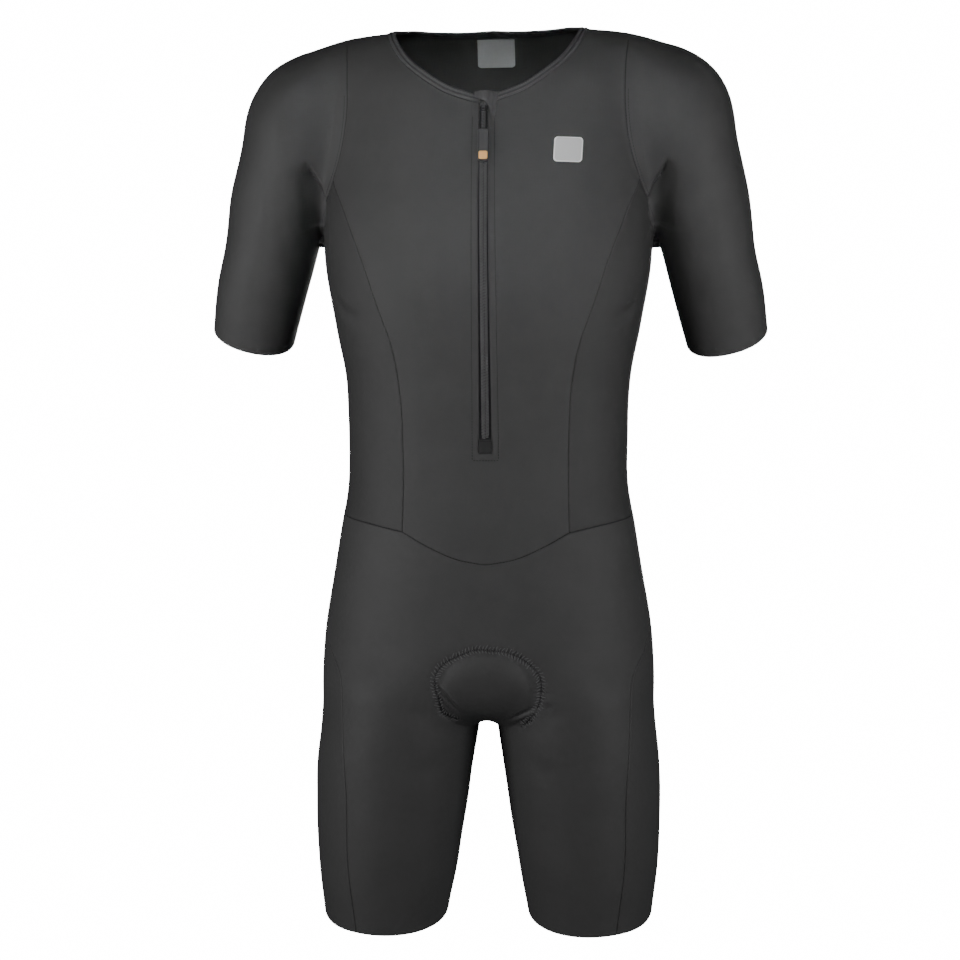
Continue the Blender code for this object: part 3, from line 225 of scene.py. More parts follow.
def rows_at(table, places):
    """Smooth values of a table's columns at places in its first column.

    A cubic runs from row to row, with the slope at a row taken from its neighbours.
    """
    rows = table[::-1] if table[0, 0] > table[-1, 0] else table
    knots, values = rows[:, 0], rows[:, 1:]
    step = np.diff(knots)[:, None]
    rise = np.diff(values, axis=0) / step
    slope = np.empty_like(values)
    slope[1:-1] = (rise[:-1] * step[1:] + rise[1:] * step[:-1]) / (step[:-1] + step[1:])
    slope[0], slope[-1] = rise[0], rise[-1]
    inside = np.clip(places, knots[0], knots[-1])
    i = np.clip(np.searchsorted(knots, inside, side="right") - 1, 0, len(knots) - 2)
    width = step[i]
    u = (inside - knots[i])[:, None] / width
    start = (2 * u**3 - 3 * u**2 + 1) * values[i] + (u**3 - 2 * u**2 + u) * width * slope[i]
    end = (3 * u**2 - 2 * u**3) * values[i + 1] + (u**3 - u**2) * width * slope[i + 1]
    return (start + end).T


def eased(share):
    """Smooth step of a share: 3 s^2 - 2 s^3, flat at 0 and at 1."""
    return share * share * (3 - 2 * share)


def bell(distance, width):
    """Bell curve exp(-(distance / width)^2): one at zero distance."""
    return np.exp(-((distance / width) ** 2))


def unit_rows(vectors):
    """Each row of a table of vectors, at length one."""
    return vectors / np.linalg.norm(vectors, axis=1, keepdims=True)


def soft_min(a, b, radius):
    """The smaller of two distances, rounded where they cross."""
    near = np.maximum(radius - np.abs(a - b), 0.0) / radius
    return np.minimum(a, b) - near * near * radius / 4


def soft_max(a, b, radius):
    """The larger of two distances, rounded where they cross."""
    return -soft_min(-a, -b, radius)


def oval(x, y, middle_x, middle_y, half_width, half_depth, power):
    """Distance from a rounded oval, negative inside it."""
    dx, dy = x - middle_x, y - middle_y
    ratio = (np.abs(dx / half_width) ** power + np.abs(dy / half_depth) ** power) ** (1 / power)
    return np.hypot(dx, dy) * (1 - 1 / np.maximum(ratio, 1e-6))


def trunk_distance(x, y, z):
    """Trunk between its shoulder roof and its rounded lower end."""
    half_width, front, back = rows_at(TRUNK, z)
    sides = oval(x, y, 0.0, (back - front) / 2, half_width, (front + back) / 2, TRUNK_POWER)
    roof = z - (SHOULDER_TOP - SHOULDER_FALL * x - ROOF_CURVE * (y - ROOF_RIDGE_Y) ** 2)
    return soft_max(soft_max(sides, roof, ROOF_BLEND), CROTCH_Z - z, CROTCH_BLEND)


def limb_distance(table, x, y, z):
    """Arm or leg from its table of sections."""
    inner, outer, front, back = rows_at(table, z)
    middle = ((inner + outer) / 2, (back - front) / 2)
    return oval(x, y, middle[0], middle[1], (outer - inner) / 2, (front + back) / 2, LIMB_POWER)


def pad_bulge(x, y, z):
    """How far the seat pad pushes the cloth out at the front."""
    half_width, half_height, middle, rise = PAD_BULGE
    level = np.clip(1 - (x / half_width) ** 2 - ((z - middle) / half_height) ** 2, 0, 1)
    start, length = PAD_BULGE_FADE
    front = np.clip((start - y) / length, 0, 1)
    return rise * front * level * (2 - level)


def form(points):
    """Signed distance from the general figure: zero on its surface."""
    x, y, z = np.abs(points[:, 0]), points[:, 1], points[:, 2]
    ridge_x, ridge_y = ARM_ROOF_RIDGE
    arm_roof = z - (ARM_TOP - ARM_FALL * (x - ridge_x) - ROOF_CURVE * (y - ridge_y) ** 2)
    arm = soft_max(limb_distance(ARM, x, y, z) * ARM_SIZE, arm_roof, ARM_ROOF_BLEND)
    leg = soft_max(limb_distance(LEG, x, y, z), z - LEG_TOP_Z, LEG_TOP_BLEND)
    above = np.clip((z - ARMPIT_Z) / ARMPIT_RISE, 0, 1)
    blend = UNDERARM_BLEND + (SHOULDER_BLEND - UNDERARM_BLEND) * eased(above)
    body = soft_min(trunk_distance(x, y, z), arm, blend)
    return soft_min(body, leg, GROIN_BLEND) - pad_bulge(x, y, z)


def form_gradient(points):
    """Direction and rate in which the distance grows."""
    step = 1e-4
    parts = []
    for axis in range(3):
        shift = np.zeros(3)
        shift[axis] = step
        parts.append((form(points + shift) - form(points - shift)) / (2 * step))
    return np.stack(parts, axis=1)


def settle(points, rounds=8):
    """Press points onto the figure along its gradient."""
    points = np.array(points, dtype=float)
    for _ in range(rounds):
        gradient = form_gradient(points)
        size = np.maximum((gradient**2).sum(axis=1), LEAST_SLOPE)
        step = np.clip(form(points) / size, -LONGEST_STEP, LONGEST_STEP)
        points -= gradient * step[:, None]
    return points


def outward(points):
    """Unit normals of the figure at points on it."""
    return unit_rows(form_gradient(points))


print("sections:", len(TRUNK), "of the trunk,", len(LEG), "of a leg,", len(ARM), "of an arm")

# %% [markdown]
# The wearer stands a little turned at the shoulders and leans to one side. The panels are made
# straight and even, and the last step of every piece turns its points into that stance.

# %% Stance
# Stance of the worn suit: a small turn and lean of the shoulders over the hips
TURN_TOP_DEG = 1.6
TURN_START_Z = -0.41
LEAN = 0.022
LEAN_START_Z = -0.25
# Where a walk onto the front or the back of the figure starts
FRONT_START_Y, BACK_START_Y = -0.09, 0.08


def stance(points):
    """Turn and lean the shoulders over the hips, from the straight figure."""
    x, y, z = points.T
    turn = math.radians(TURN_TOP_DEG) * np.clip((z - TURN_START_Z) / -TURN_START_Z, 0, 1.1)
    level = eased(np.clip((z - LEAN_START_Z) / -LEAN_START_Z, 0, 1))
    turned_x = np.cos(turn) * x + np.sin(turn) * y
    turned_y = np.cos(turn) * y - np.sin(turn) * x
    return np.stack([turned_x, turned_y, z + LEAN * x * level], axis=1)


def settle_column(points):
    """Press points onto the front or back of the figure, keeping x and z."""
    points = np.array(points, dtype=float)
    for _ in range(12):
        slope = form_gradient(points)[:, 1]
        slope = np.where(np.abs(slope) < LEAST_SLOPE, np.sign(slope + 1e-9) * LEAST_SLOPE, slope)
        points[:, 1] -= np.clip(form(points) / slope, -LONGEST_STEP, LONGEST_STEP)
    return points


def on_column(x, z, start_y=FRONT_START_Y):
    """Points of the figure's front, or back, at places x, z of any even grid."""
    x, z = np.broadcast_arrays(x, z)
    guess = np.stack([x.ravel(), np.full(x.size, start_y), z.ravel()], axis=1)
    return settle_column(guess).reshape(*x.shape, 3)


print("shoulders turned by", TURN_TOP_DEG, "degrees")

# %% [markdown]
# ## The seams
# A pattern cutter draws the seams first, and so does this lesson. Each seam is a short table of
# places on the wearer's left half. A smooth curve runs through them, and its points are pressed
# onto the figure. Both panels of a seam use the same points, so no light comes through.

# %% Seam tables
# Number of wide grid cells along the seams, and of fine points in each
NECK_CELLS = 5
SHOULDER_CELLS = 2
ARMHOLE_CELLS = 7
PRINCESS_CELLS = 14
WAIST_CELLS = 7
WAIST_FRONT_SIDE_CELLS = WAIST_OUTER_CELLS = WAIST_BACK_SIDE_CELLS = 4
UNDERARM_CELLS = WAIST_FRONT_SIDE_CELLS + WAIST_OUTER_CELLS + WAIST_BACK_SIDE_CELLS
INSEAM_CELLS = 8
RISE_CELLS = 12
LEG_CELLS = RISE_CELLS + INSEAM_CELLS
HEM_FRONT_CELLS = 1 + WAIST_CELLS + WAIST_FRONT_SIDE_CELLS
HEM_BACK_CELLS = WAIST_CELLS + WAIST_BACK_SIDE_CELLS
CENTRE_CELLS_ABOVE_ZIP_END = 16
CENTRE_CELLS = ARMHOLE_CELLS + PRINCESS_CELLS
FINE = 12

# Seams of the wearer's left half: wide cells, and places x, y, z in the straight figure, in
# tenths of a millimetre
SEAM_ROWS = {
    "neck_front": (NECK_CELLS, [
        (45, -810, -530), (160, -800, -490), (340, -770, -425), (545, -690, -305), (740, -570, -150),
        (870, -340, 20), (905, 20, 100),
    ]),
    "neck_back": (NECK_CELLS, [
        (905, 20, 100), (860, 300, 125), (660, 540, 135), (360, 660, 150), (0, 700, 160),
    ]),
    "armhole_front": (ARMHOLE_CELLS, [
        (1370, 170, 30), (1375, -120, -20), (1345, -330, -220), (1345, -460, -470),
        (1360, -520, -750), (1395, -535, -1000), (1450, -520, -1200), (1500, -475, -1350),
    ]),
    "underarm": (UNDERARM_CELLS, [
        (1500, -475, -1350), (1560, -405, -1480), (1610, -330, -1600), (1655, -200, -1780),
        (1670, -70, -1970), (1670, 120, -2070), (1645, 310, -1970), (1600, 440, -1700),
        (1550, 530, -1500), (1500, 610, -1350),
    ]),
    "armhole_back": (ARMHOLE_CELLS, [
        (1500, 610, -1350), (1420, 720, -1080), (1385, 740, -800), (1370, 680, -480),
        (1370, 500, -180), (1370, 170, 30),
    ]),
    "princess_front": (PRINCESS_CELLS, [
        (1500, -475, -1350), (1405, -630, -1550), (1300, -765, -1820), (1190, -855, -2110),
        (1030, -900, -2590), (905, -900, -2940), (840, -865, -3300), (805, -820, -3980),
        (815, -835, -4765),
    ]),
    "princess_back": (PRINCESS_CELLS, [
        (1500, 610, -1350), (1320, 850, -1850), (1080, 920, -2600), (890, 850, -3400),
        (830, 810, -4000), (880, 900, -4700),
    ]),
    "waist_front": (WAIST_CELLS, [
        (45, -965, -5063), (280, -955, -5018), (560, -920, -4902), (815, -835, -4765),
    ]),
    "waist_front_side": (WAIST_FRONT_SIDE_CELLS, [
        (815, -835, -4765), (1100, -680, -4715), (1370, -380, -4680), (1445, 40, -4665),
    ]),
    "waist_outer": (WAIST_OUTER_CELLS, [
        (1445, 40, -4665), (1440, 200, -4665), (1390, 380, -4665),
    ]),
    "waist_back_side": (WAIST_BACK_SIDE_CELLS, [
        (1390, 380, -4665), (1180, 700, -4670), (880, 900, -4700),
    ]),
    "waist_back": (WAIST_CELLS, [
        (880, 900, -4700), (450, 950, -4720), (0, 960, -4730),
    ]),
    "leg_front": (LEG_CELLS, [
        (1445, 40, -4665), (1600, -60, -5450), (1605, -280, -5900), (1465, -655, -6250),
        (1420, -720, -6800), (1385, -755, -7400), (1380, -720, -8100), (1300, -670, -8830),
    ]),
    "leg_back": (LEG_CELLS, [
        (1390, 380, -4665), (1540, 560, -5400), (1530, 700, -6100), (1490, 750, -7000),
        (1440, 680, -7900), (1370, 550, -8640),
    ]),
    "inseam": (INSEAM_CELLS, [
        (0, 80, -6650), (95, 60, -6780), (155, 30, -7130), (270, 0, -7880), (410, 0, -8720),
    ]),
    "rise_front": (RISE_CELLS, [
        (0, -965, -5065), (0, -980, -5500), (0, -1000, -5950), (0, -960, -6300), (0, -650, -6550),
        (0, -300, -6630), (0, 80, -6650),
    ]),
    "rise_back": (RISE_CELLS, [
        (0, 960, -4730), (0, 1120, -5350), (0, 1200, -5900), (0, 1080, -6340), (0, 600, -6590),
        (0, 80, -6650),
    ]),
    "hem_front": (HEM_FRONT_CELLS, [
        (1300, -670, -8830), (1000, -720, -8845), (640, -560, -8820), (410, 0, -8720),
    ]),
    "hem_back": (HEM_BACK_CELLS, [
        (1370, 550, -8640), (1040, 720, -8615), (660, 570, -8640), (410, 0, -8720),
    ]),
    "hem_outer": (WAIST_OUTER_CELLS, [
        (1300, -670, -8830), (1530, -450, -8800), (1660, 0, -8720), (1600, 320, -8670),
        (1370, 550, -8640),
    ]),
}
# The shoulder seam starts at the binding, and the waist seam's lowest point is on the middle line
SHOULDER_END = np.array([(1160, 110, 60), (1370, 170, 30)]) / TENTHS
WAIST_MIDDLE = np.array([(0.0, -0.0965, -0.5065)])
print("seams:", len(SEAM_ROWS) + 1)

# %% Seam curves
BINDING_WIDTH = 0.0075
ZIP_HALF_TOP, ZIP_HALF_END = 0.0040, 0.0062
ZIP_TOP_Z, ZIP_END_Z = -0.0600, -0.3965


def run_along(points):
    """Length of the way to each point of a run, zero at the first."""
    return np.concatenate([[0.0], np.cumsum(np.linalg.norm(np.diff(points, axis=0), axis=1))])


def points_at(places, run, points):
    """Points of a run at places along it."""
    return np.column_stack([np.interp(places, run, points[:, i]) for i in range(3)])


def curve_through(rows, count):
    """Even points on a smooth curve through the rows of a table."""
    along = run_along(rows)
    fine = rows_at(np.column_stack([along, rows]), np.linspace(0, along[-1], 1500)).T
    run = run_along(fine)
    return points_at(np.linspace(0, run[-1], count), run, fine)


def seam(rows, cells):
    """Points of a seam, FINE of them for each wide cell, pressed onto the figure."""
    points = settle(curve_through(rows, cells * FINE + 1))
    points[np.abs(points[:, 0]) < 1e-6, 0] = 0.0
    return points


def joined(*runs):
    """One run of points from several that meet end to end."""
    parts = [runs[0]] + [run[1:] for run in runs[1:]]
    return np.concatenate(parts)


def flipped(points):
    """The same points on the wearer's other side."""
    return points * np.array([-1.0, 1.0, 1.0])


def zip_half(heights):
    """Half the width of the opening at the zip, a little wider towards its end."""
    share = np.clip((ZIP_TOP_Z - heights) / (ZIP_TOP_Z - ZIP_END_Z), 0, 1)
    return ZIP_HALF_TOP + (ZIP_HALF_END - ZIP_HALF_TOP) * share


def lowered_edge(edge, distance):
    """An edge moved down the cloth, away from the neck, and settled again."""
    down = unit_rows(np.cross(outward(edge), np.gradient(edge, axis=0)))
    centre = np.array([0.0, -0.005, edge[:, 2].mean()])
    side = np.sign(((edge - centre) * down).sum(axis=1))
    return settle(edge + down * side[:, None] * distance)


def make_seams():
    """All seams of the wearer's left half, by name."""
    made = {name: seam(np.array(rows) / TENTHS, cells) for name, (cells, rows) in SEAM_ROWS.items()}
    low_front = lowered_edge(made["neck_front"], BINDING_WIDTH)
    low_back = lowered_edge(made["neck_back"], BINDING_WIDTH)
    low_back[-1, 0] = 0.0
    low_front[0, 0] = ZIP_HALF_TOP
    low_front[:1] = settle_column(low_front[:1])
    start = settle(((low_front[-1] + low_back[0]) / 2)[None])[0]
    low_front[-1] = low_back[0] = start
    shoulder = seam(np.array([start, *SHOULDER_END]), SHOULDER_CELLS)
    made.update(low_front=low_front, low_back=low_back, shoulder=shoulder)
    return made | {"waist_middle": settle(WAIST_MIDDLE)}


def run_length(points):
    """Length of a run of points."""
    return float(np.linalg.norm(np.diff(points, axis=0), axis=1).sum())


seams = make_seams()
for name in ("armhole_front", "princess_front", "waist_front", "inseam"):
    print(name, round(run_length(seams[name]), 3), "m")

# %% [markdown]
# ## From seams to a smooth panel
# A panel could be cut out of a remeshed figure, but then its edges would be ragged. Stretching
# a grid between its four seams keeps them clean, and its lines follow the cloth's grain. A
# coarse grid is relaxed first, as cloth evens itself out. Then it is read with smooth cubics at
# close steps, its edges are drawn to the fine seams, and all is pressed onto the figure.

# %% Panel surfaces
STEP = 0.0033
EDGE_STEPS = np.array([0.00035, 0.0008, 0.0013, 0.0019])


def stretched(top, bottom, first, last):
    """Grid of points between four edges, evened out and pressed onto the figure.

    Each inner point starts from the blend of its two columns' ends and its two
    rows' ends, less the blend of the four corners. Then it moves to the middle of
    its neighbours a few times and back onto the figure.
    """
    rows, columns = len(first), len(top)
    u = np.linspace(0, 1, columns)[None, :, None]
    v = np.linspace(0, 1, rows)[:, None, None]
    across = (1 - u) * first[:, None] + u * last[:, None]
    down = (1 - v) * top[None] + v * bottom[None]
    corners = (1 - v) * ((1 - u) * top[0] + u * top[-1]) + v * ((1 - u) * bottom[0] + u * bottom[-1])
    grid = across + down - corners
    grid[0], grid[-1], grid[:, 0], grid[:, -1] = top, bottom, first, last
    for _ in range(10):
        inner = settle(grid[1:-1, 1:-1].reshape(-1, 3), 2).reshape(rows - 2, columns - 2, 3)
        grid[1:-1, 1:-1] = inner
        middle = (grid[:-2, 1:-1] + grid[2:, 1:-1] + grid[1:-1, :-2] + grid[1:-1, 2:]) / 4
        grid[1:-1, 1:-1] = 0.5 * inner + 0.5 * middle
    grid[1:-1, 1:-1] = settle(grid[1:-1, 1:-1].reshape(-1, 3)).reshape(rows - 2, columns - 2, 3)
    return grid


def places_along(cells, length, dense=()):
    """Places from 0 to the number of cells: even steps, closer at both ends and in dense bands.

    Each dense band is its start, its end and its step, in metres along the way.
    """
    even = np.linspace(0, length, max(2, round(length / STEP)) + 1)
    inner = even[(even > EDGE_STEPS[-1] + STEP / 3) & (even < length - EDGE_STEPS[-1] - STEP / 3)]
    for start, end, step in dense:
        inner = inner[(inner < start) | (inner > end)]
        inner = np.concatenate([inner, np.arange(start, end, step)])
    every = np.concatenate([[0.0, length], EDGE_STEPS, length - EDGE_STEPS, inner])
    every = np.sort(every[(every >= 0) & (every <= length)])
    every = every[np.concatenate([[True], np.diff(every) > 2e-4])]
    every[-1] = length
    return every * cells / length


def read_rows(grid, places):
    """Smooth values between the rows of a grid, at places counted in rows."""
    count = len(grid)
    table = np.column_stack([np.arange(count), grid.reshape(count, -1)])
    return rows_at(table, places).T.reshape(len(places), *grid.shape[1:])


def on_seam(points, places):
    """Points of a fine seam at places counted in wide cells."""
    return points_at(places, np.arange(len(points)) / FINE, points)


def fine_surface(top, bottom, first, last, down, across):
    """A panel's points at rows `down` and columns `across`, both counted in wide cells.

    The relaxed coarse grid is read with cubics. What its edges miss of the fine seams is
    spread inwards, each edge's share falling evenly to the far side, less the corners' share.
    """
    coarse = stretched(top[::FINE], bottom[::FINE], first[::FINE], last[::FINE])
    grid = read_rows(read_rows(coarse, down).swapaxes(0, 1), across).swapaxes(0, 1)
    edges = on_seam(top, across), on_seam(bottom, across), on_seam(first, down), on_seam(last, down)
    miss = edges[0] - grid[0], edges[1] - grid[-1], edges[2] - grid[:, 0], edges[3] - grid[:, -1]
    u = (across / across[-1])[None, :, None]
    v = (down / down[-1])[:, None, None]
    grid = grid + (1 - v) * miss[0][None] + v * miss[1][None]
    grid = grid + (1 - u) * miss[2][:, None] + u * miss[3][:, None]
    grid[1:-1, 1:-1] = settle(grid[1:-1, 1:-1].reshape(-1, 3), 3).reshape(grid[1:-1, 1:-1].shape)
    grid[0], grid[-1], grid[:, 0], grid[:, -1] = edges
    return grid


print("lines of a panel:", STEP, "m apart")

# %% [markdown]
# ## Seam grooves and folds
# Flat seams show as a fine dark groove with a faint ridge on each side, where the allowances lie
# under the cloth. Its depth depends only on the distance from the seam. The folds are short
# soft troughs with a ridge beside them: each runs along a curve through three places, deepest
# in the middle and fading at its ends. The largest ones lie at the armpits, and on the hidden
# back and sides they follow the same pulls.

# %% Grooves and folds
GROOVE_DEPTH, GROOVE_WIDTH = 0.00036, 0.00060
RIDGE_RISE, RIDGE_AT, RIDGE_WIDTH = 0.00014, 0.0017, 0.0009
FAR = 1.0
FOLD_STEPS = 41

# Folds. Columns: three places x, y, z in the straight figure, depth, width
FOLDS = np.array([
    (1900, -360, -1120, 1790, -380, -1380, 1740, -300, -1700, 12, 70),
    (1450, -550, -1280, 1540, -460, -1420, 1600, -340, -1580, 9, 30),
    (1500, -300, -2050, 1560, -360, -1900, 1600, -340, -1700, 7, 60),
    (1500, -440, -2460, 1400, -600, -2620, 1220, -780, -2680, 19, 55),
    (1440, -400, -3000, 1300, -620, -2960, 1180, -750, -2860, 5, 70),
    (1860, -250, -2050, 1980, -300, -2150, 2120, -320, -2140, 5, 80),
    (1650, 400, -1500, 1580, 560, -1400, 1500, 660, -1200, 16, 45),
    (1700, 450, -1700, 1800, 550, -1500, 1900, 620, -1350, 10, 60),
    (1330, 700, -3000, 1100, 820, -3180, 800, 900, -3260, 8, 90),
    (1250, 700, -3950, 950, 820, -4020, 600, 860, -3980, 8, 80),
    (1300, 600, -4300, 1050, 800, -4400, 750, 880, -4460, 6, 70),
    (200, 1180, -6600, 500, 1100, -6720, 900, 1050, -6720, 14, 80),
    (300, 1000, -6900, 600, 1000, -7000, 1000, 1000, -6980, 8, 80),
    (560, -950, -6500, 680, -920, -6550, 820, -900, -6520, 5, 70),
    (400, -800, -7000, 560, -800, -7120, 750, -850, -7160, 5, 90),
    (1400, -400, -3600, 1200, -600, -3720, 1000, -740, -3780, 4, 100),
]) / TENTHS

# Deep creases where a sleeve tucks under the chest or the back. Each row: x, y, z of a place
CREASES = np.array([
    [(1800, -430, -1130), (1705, -420, -1300), (1630, -360, -1520), (1590, -250, -1850)],
    [(1740, 560, -1250), (1680, 500, -1400), (1625, 420, -1560), (1590, 300, -1750)],
]) / TENTHS
CREASE_DEPTH, CREASE_OUTSIDE, CREASE_INSIDE = 0.0095, 0.0095, 0.0020
CREASE_FADE, CREASE_REACH = 0.28, 0.07
END_CLEAR, END_WIDTH = 0.002, 0.010
LIP_RISE, LIP_AT, LIP_WIDTH = 0.0006, 0.0030, 0.0018

# Folds: weight on the right half, share and place and width of the ridge beside a fold
RIGHT_SHARE = 0.8
FOLD_RIDGE, FOLD_RIDGE_AT, FOLD_RIDGE_WIDTH = 0.35, 2.0, 1.2


def on_left(points):
    """Points of the right half mirrored onto the left one."""
    return np.column_stack([np.abs(points[:, 0]), points[:, 1:]])


def crease_height(points):
    """Armpit creases: a slow fall from the sleeve's side, and a sharp step up to the body.

    The fall is a decaying exponential of the distance outwards, the step is half a bell, and
    a low lip follows it. All fade in over the first part of the crease.
    """
    even = on_left(points)
    height = np.zeros(len(points))
    for curve in crease_list:
        near = np.linalg.norm(even - curve[FOLD_STEPS // 2], axis=1) < CREASE_REACH
        spots = even[near]
        offset = spots[:, None] - curve[None]
        gaps = np.linalg.norm(offset, axis=2)
        nearest, away = gaps.argmin(axis=1), gaps.min(axis=1)
        outside = offset[np.arange(len(spots)), nearest, 0] > 0
        share = nearest / (FOLD_STEPS - 1)
        fade = eased(np.clip(share / CREASE_FADE, 0, 1))
        fall = np.where(outside, np.exp(-away / CREASE_OUTSIDE), bell(away, CREASE_INSIDE))
        lip = np.where(outside, 0.0, bell(away - LIP_AT, LIP_WIDTH))
        beyond = bell(np.maximum(away - END_CLEAR, 0), END_WIDTH)
        at_end = (nearest == 0) | (nearest == FOLD_STEPS - 1)
        height[near] += fade * np.where(at_end, beyond, 1.0) * (LIP_RISE * lip - CREASE_DEPTH * fall)
    return height


def fold_curves():
    """Curve, depth and width of every fold, in metres."""
    curves = [settle(curve_through(row[:9].reshape(3, 3), FOLD_STEPS)) for row in FOLDS]
    return [(curve, row[9], row[10]) for curve, row in zip(curves, FOLDS)]


fold_list = fold_curves()
crease_list = [settle(curve_through(rows, FOLD_STEPS)) for rows in CREASES]


def seam_profile(distance):
    """Height over the seam: a narrow bell downwards, and a wider one upwards beside it."""
    ridge = RIDGE_RISE * bell(distance - RIDGE_AT, RIDGE_WIDTH)
    return ridge - GROOVE_DEPTH * bell(distance, GROOVE_WIDTH)


def fold_height(points):
    """Sum of all folds at points of the straight figure, on both halves.

    A fold's height is minus its depth times a bell of the distance from its curve, plus a
    lower and wider bell beside it, times a fade towards both ends.
    """
    even = on_left(points)
    side = np.where(points[:, 0] > 0, 1.0, RIGHT_SHARE)
    height = np.zeros(len(points))
    for curve, depth, width in fold_list:
        reach = run_length(curve) / 2 + 5 * width
        near = np.linalg.norm(even - curve[FOLD_STEPS // 2], axis=1) < reach
        spots = even[near]
        gaps = np.linalg.norm(spots[:, None] - curve[None], axis=2)
        nearest = gaps.argmin(axis=1)
        fade = np.sin(math.pi * (0.06 + 0.88 * nearest / (FOLD_STEPS - 1))) ** 1.5
        away = gaps.min(axis=1)
        ridge = bell(away - FOLD_RIDGE_AT * width, FOLD_RIDGE_WIDTH * width)
        level = depth * (FOLD_RIDGE * ridge - bell(away, width))
        height[near] += level * fade * side[near]
    return height + crease_height(points)


def slack_height(points):
    """Slow unevenness of worn cloth: three long waves across each other, under half a millimetre."""
    x, y, z = points.T
    first = np.sin(61 * x + 23 * z + 3.0 * np.sin(17 * z)) * np.sin(37 * z - 19 * y)
    second = np.sin(97 * z + 41 * x + 2.0 * np.sin(29 * x)) * np.sin(53 * x + 31 * y)
    return 0.00022 * first + 0.00012 * second


def cloth_level(points):
    """Height of the cloth's folds over the figure."""
    return fold_height(points) + slack_height(points)


print("folds:", len(fold_list), "creases:", len(crease_list))

# %% [markdown]
# ## From a surface to a closed shell
# Solidify could give the cloth its thickness, but it knows nothing of the seams. Here the outer
# face carries grooves, folds and rolled edges, the inner face only the folds, and a narrow rim
# closes the wall all round. Each point also gets its place in the flat cloth, for the knit, and
# its distance from the nearest seam, for the painted shade in the groove.

# %% Shells
CLOTH = 0.0011
SHARP_DEG = 48
# Distance from a seam in mm, given to sheets that have none
NO_SEAM = 900.0


def grid_cells(rows, columns, start=0, ring=False):
    """Four-sided cells of a grid whose points are numbered row by row."""
    numbers = start + np.arange(rows * columns).reshape(rows, columns)
    right = np.roll(numbers, -1, axis=1) if ring else numbers[:, 1:]
    left = numbers if ring else numbers[:, :-1]
    cells = np.stack([left[:-1], left[1:], right[1:], right[:-1]], axis=-1)
    return cells.reshape(-1, 4)


def edge_runs(cells):
    """Edges that only one cell has, in that cell's turning direction."""
    edges = np.concatenate([np.stack([cells[:, i], cells[:, (i + 1) % 4]], axis=1) for i in range(4)])
    ordered = np.sort(edges, axis=1)
    _, where, counts = np.unique(ordered, axis=0, return_inverse=True, return_counts=True)
    return edges[counts[where.reshape(-1)] == 1]


def edge_distance(grid, weights):
    """Distance along the grid's lines from each edge that is a seam.

    weights gives, for top, bottom, first and last, how much of a seam that edge is, as one
    number or one for each point along it.
    """
    rows, columns = grid.shape[:2]
    down = np.linalg.norm(np.diff(grid, axis=0), axis=2)
    across = np.linalg.norm(np.diff(grid, axis=1), axis=2)
    from_top = np.concatenate([np.zeros((1, columns)), np.cumsum(down, axis=0)])
    from_first = np.concatenate([np.zeros((rows, 1)), np.cumsum(across, axis=1)], axis=1)
    runs = {
        "top": from_top, "bottom": from_top[-1:] - from_top,
        "first": from_first, "last": from_first[:, -1:] - from_first,
    }
    nearest = np.full((rows, columns), FAR)
    for edge, weight in weights.items():
        weight = np.atleast_1d(weight).astype(float)
        weight = weight[None, :] if edge in ("top", "bottom") else weight[:, None]
        nearest = np.minimum(nearest, np.where(weight > 0.5, runs[edge], FAR))
    return nearest


def flat_places(grid):
    """Each point's place in the flat cloth: run from the middle column, run down that column."""
    middle = grid.shape[1] // 2
    across = np.linalg.norm(np.diff(grid, axis=1), axis=2)
    run = np.concatenate([np.zeros((len(grid), 1)), np.cumsum(across, axis=1)], axis=1)
    run -= run[:, middle:middle + 1]
    fall = run_along(grid[:, middle])
    return np.stack([run, np.broadcast_to(-fall[:, None], run.shape)], axis=2)


def add_piece(name, points, faces, finish, body="garment", uv=None, marks=None, sharp=SHARP_DEG):
    """Make an object from points and faces, with corner places in the flat cloth if given."""
    mesh = bpy.data.meshes.new(name)
    faces = faces if isinstance(faces, list) else faces.tolist()
    mesh.from_pydata(np.asarray(points).tolist(), [], faces)
    mesh.shade_smooth()
    mesh.set_sharp_from_angle(angle=math.radians(sharp))
    if uv is not None:
        layer = mesh.uv_layers.new(name="UVMap")
        layer.data.foreach_set("uv", np.asarray(uv, dtype=np.float32).ravel())
    for key, values in (marks or {}).items():
        mark = mesh.attributes.new(key, "FLOAT", "POINT")
        mark.data.foreach_set("value", np.asarray(values, dtype=np.float32))
    mesh.materials.append(finish)
    piece = bpy.data.objects.new(name, mesh)
    bpy.context.scene.collection.objects.link(piece)
    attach(piece, body)
    return piece


def wall_faces(cells, count):
    """Faces of a closed wall: outer cells, inner cells turned over, and the rim between."""
    edges = edge_runs(cells)
    rim = np.stack([edges[:, 1], edges[:, 0], edges[:, 0] + count, edges[:, 1] + count], axis=1)
    return np.concatenate([cells, cells[:, ::-1] + count, rim])


def add_wall(name, points, cells, flat, top, thickness, distance, finish):
    """A closed wall whose outer face is at height `top` over points of the figure."""
    normals = outward(points)
    quad = points[cells[0]]
    if np.dot(np.cross(quad[2] - quad[0], quad[3] - quad[1]), normals[cells[0, 0]]) < 0:
        cells = cells[:, ::-1]
    outer = stance(points + normals * top[:, None])
    inner = stance(points + normals * (top - thickness)[:, None])
    faces = wall_faces(cells, len(points))
    uv = np.concatenate([flat, flat])[faces.ravel()]
    marks = {"seam_distance": distance}
    return add_piece(name, np.concatenate([outer, inner]), faces, finish, uv=uv, marks=marks)


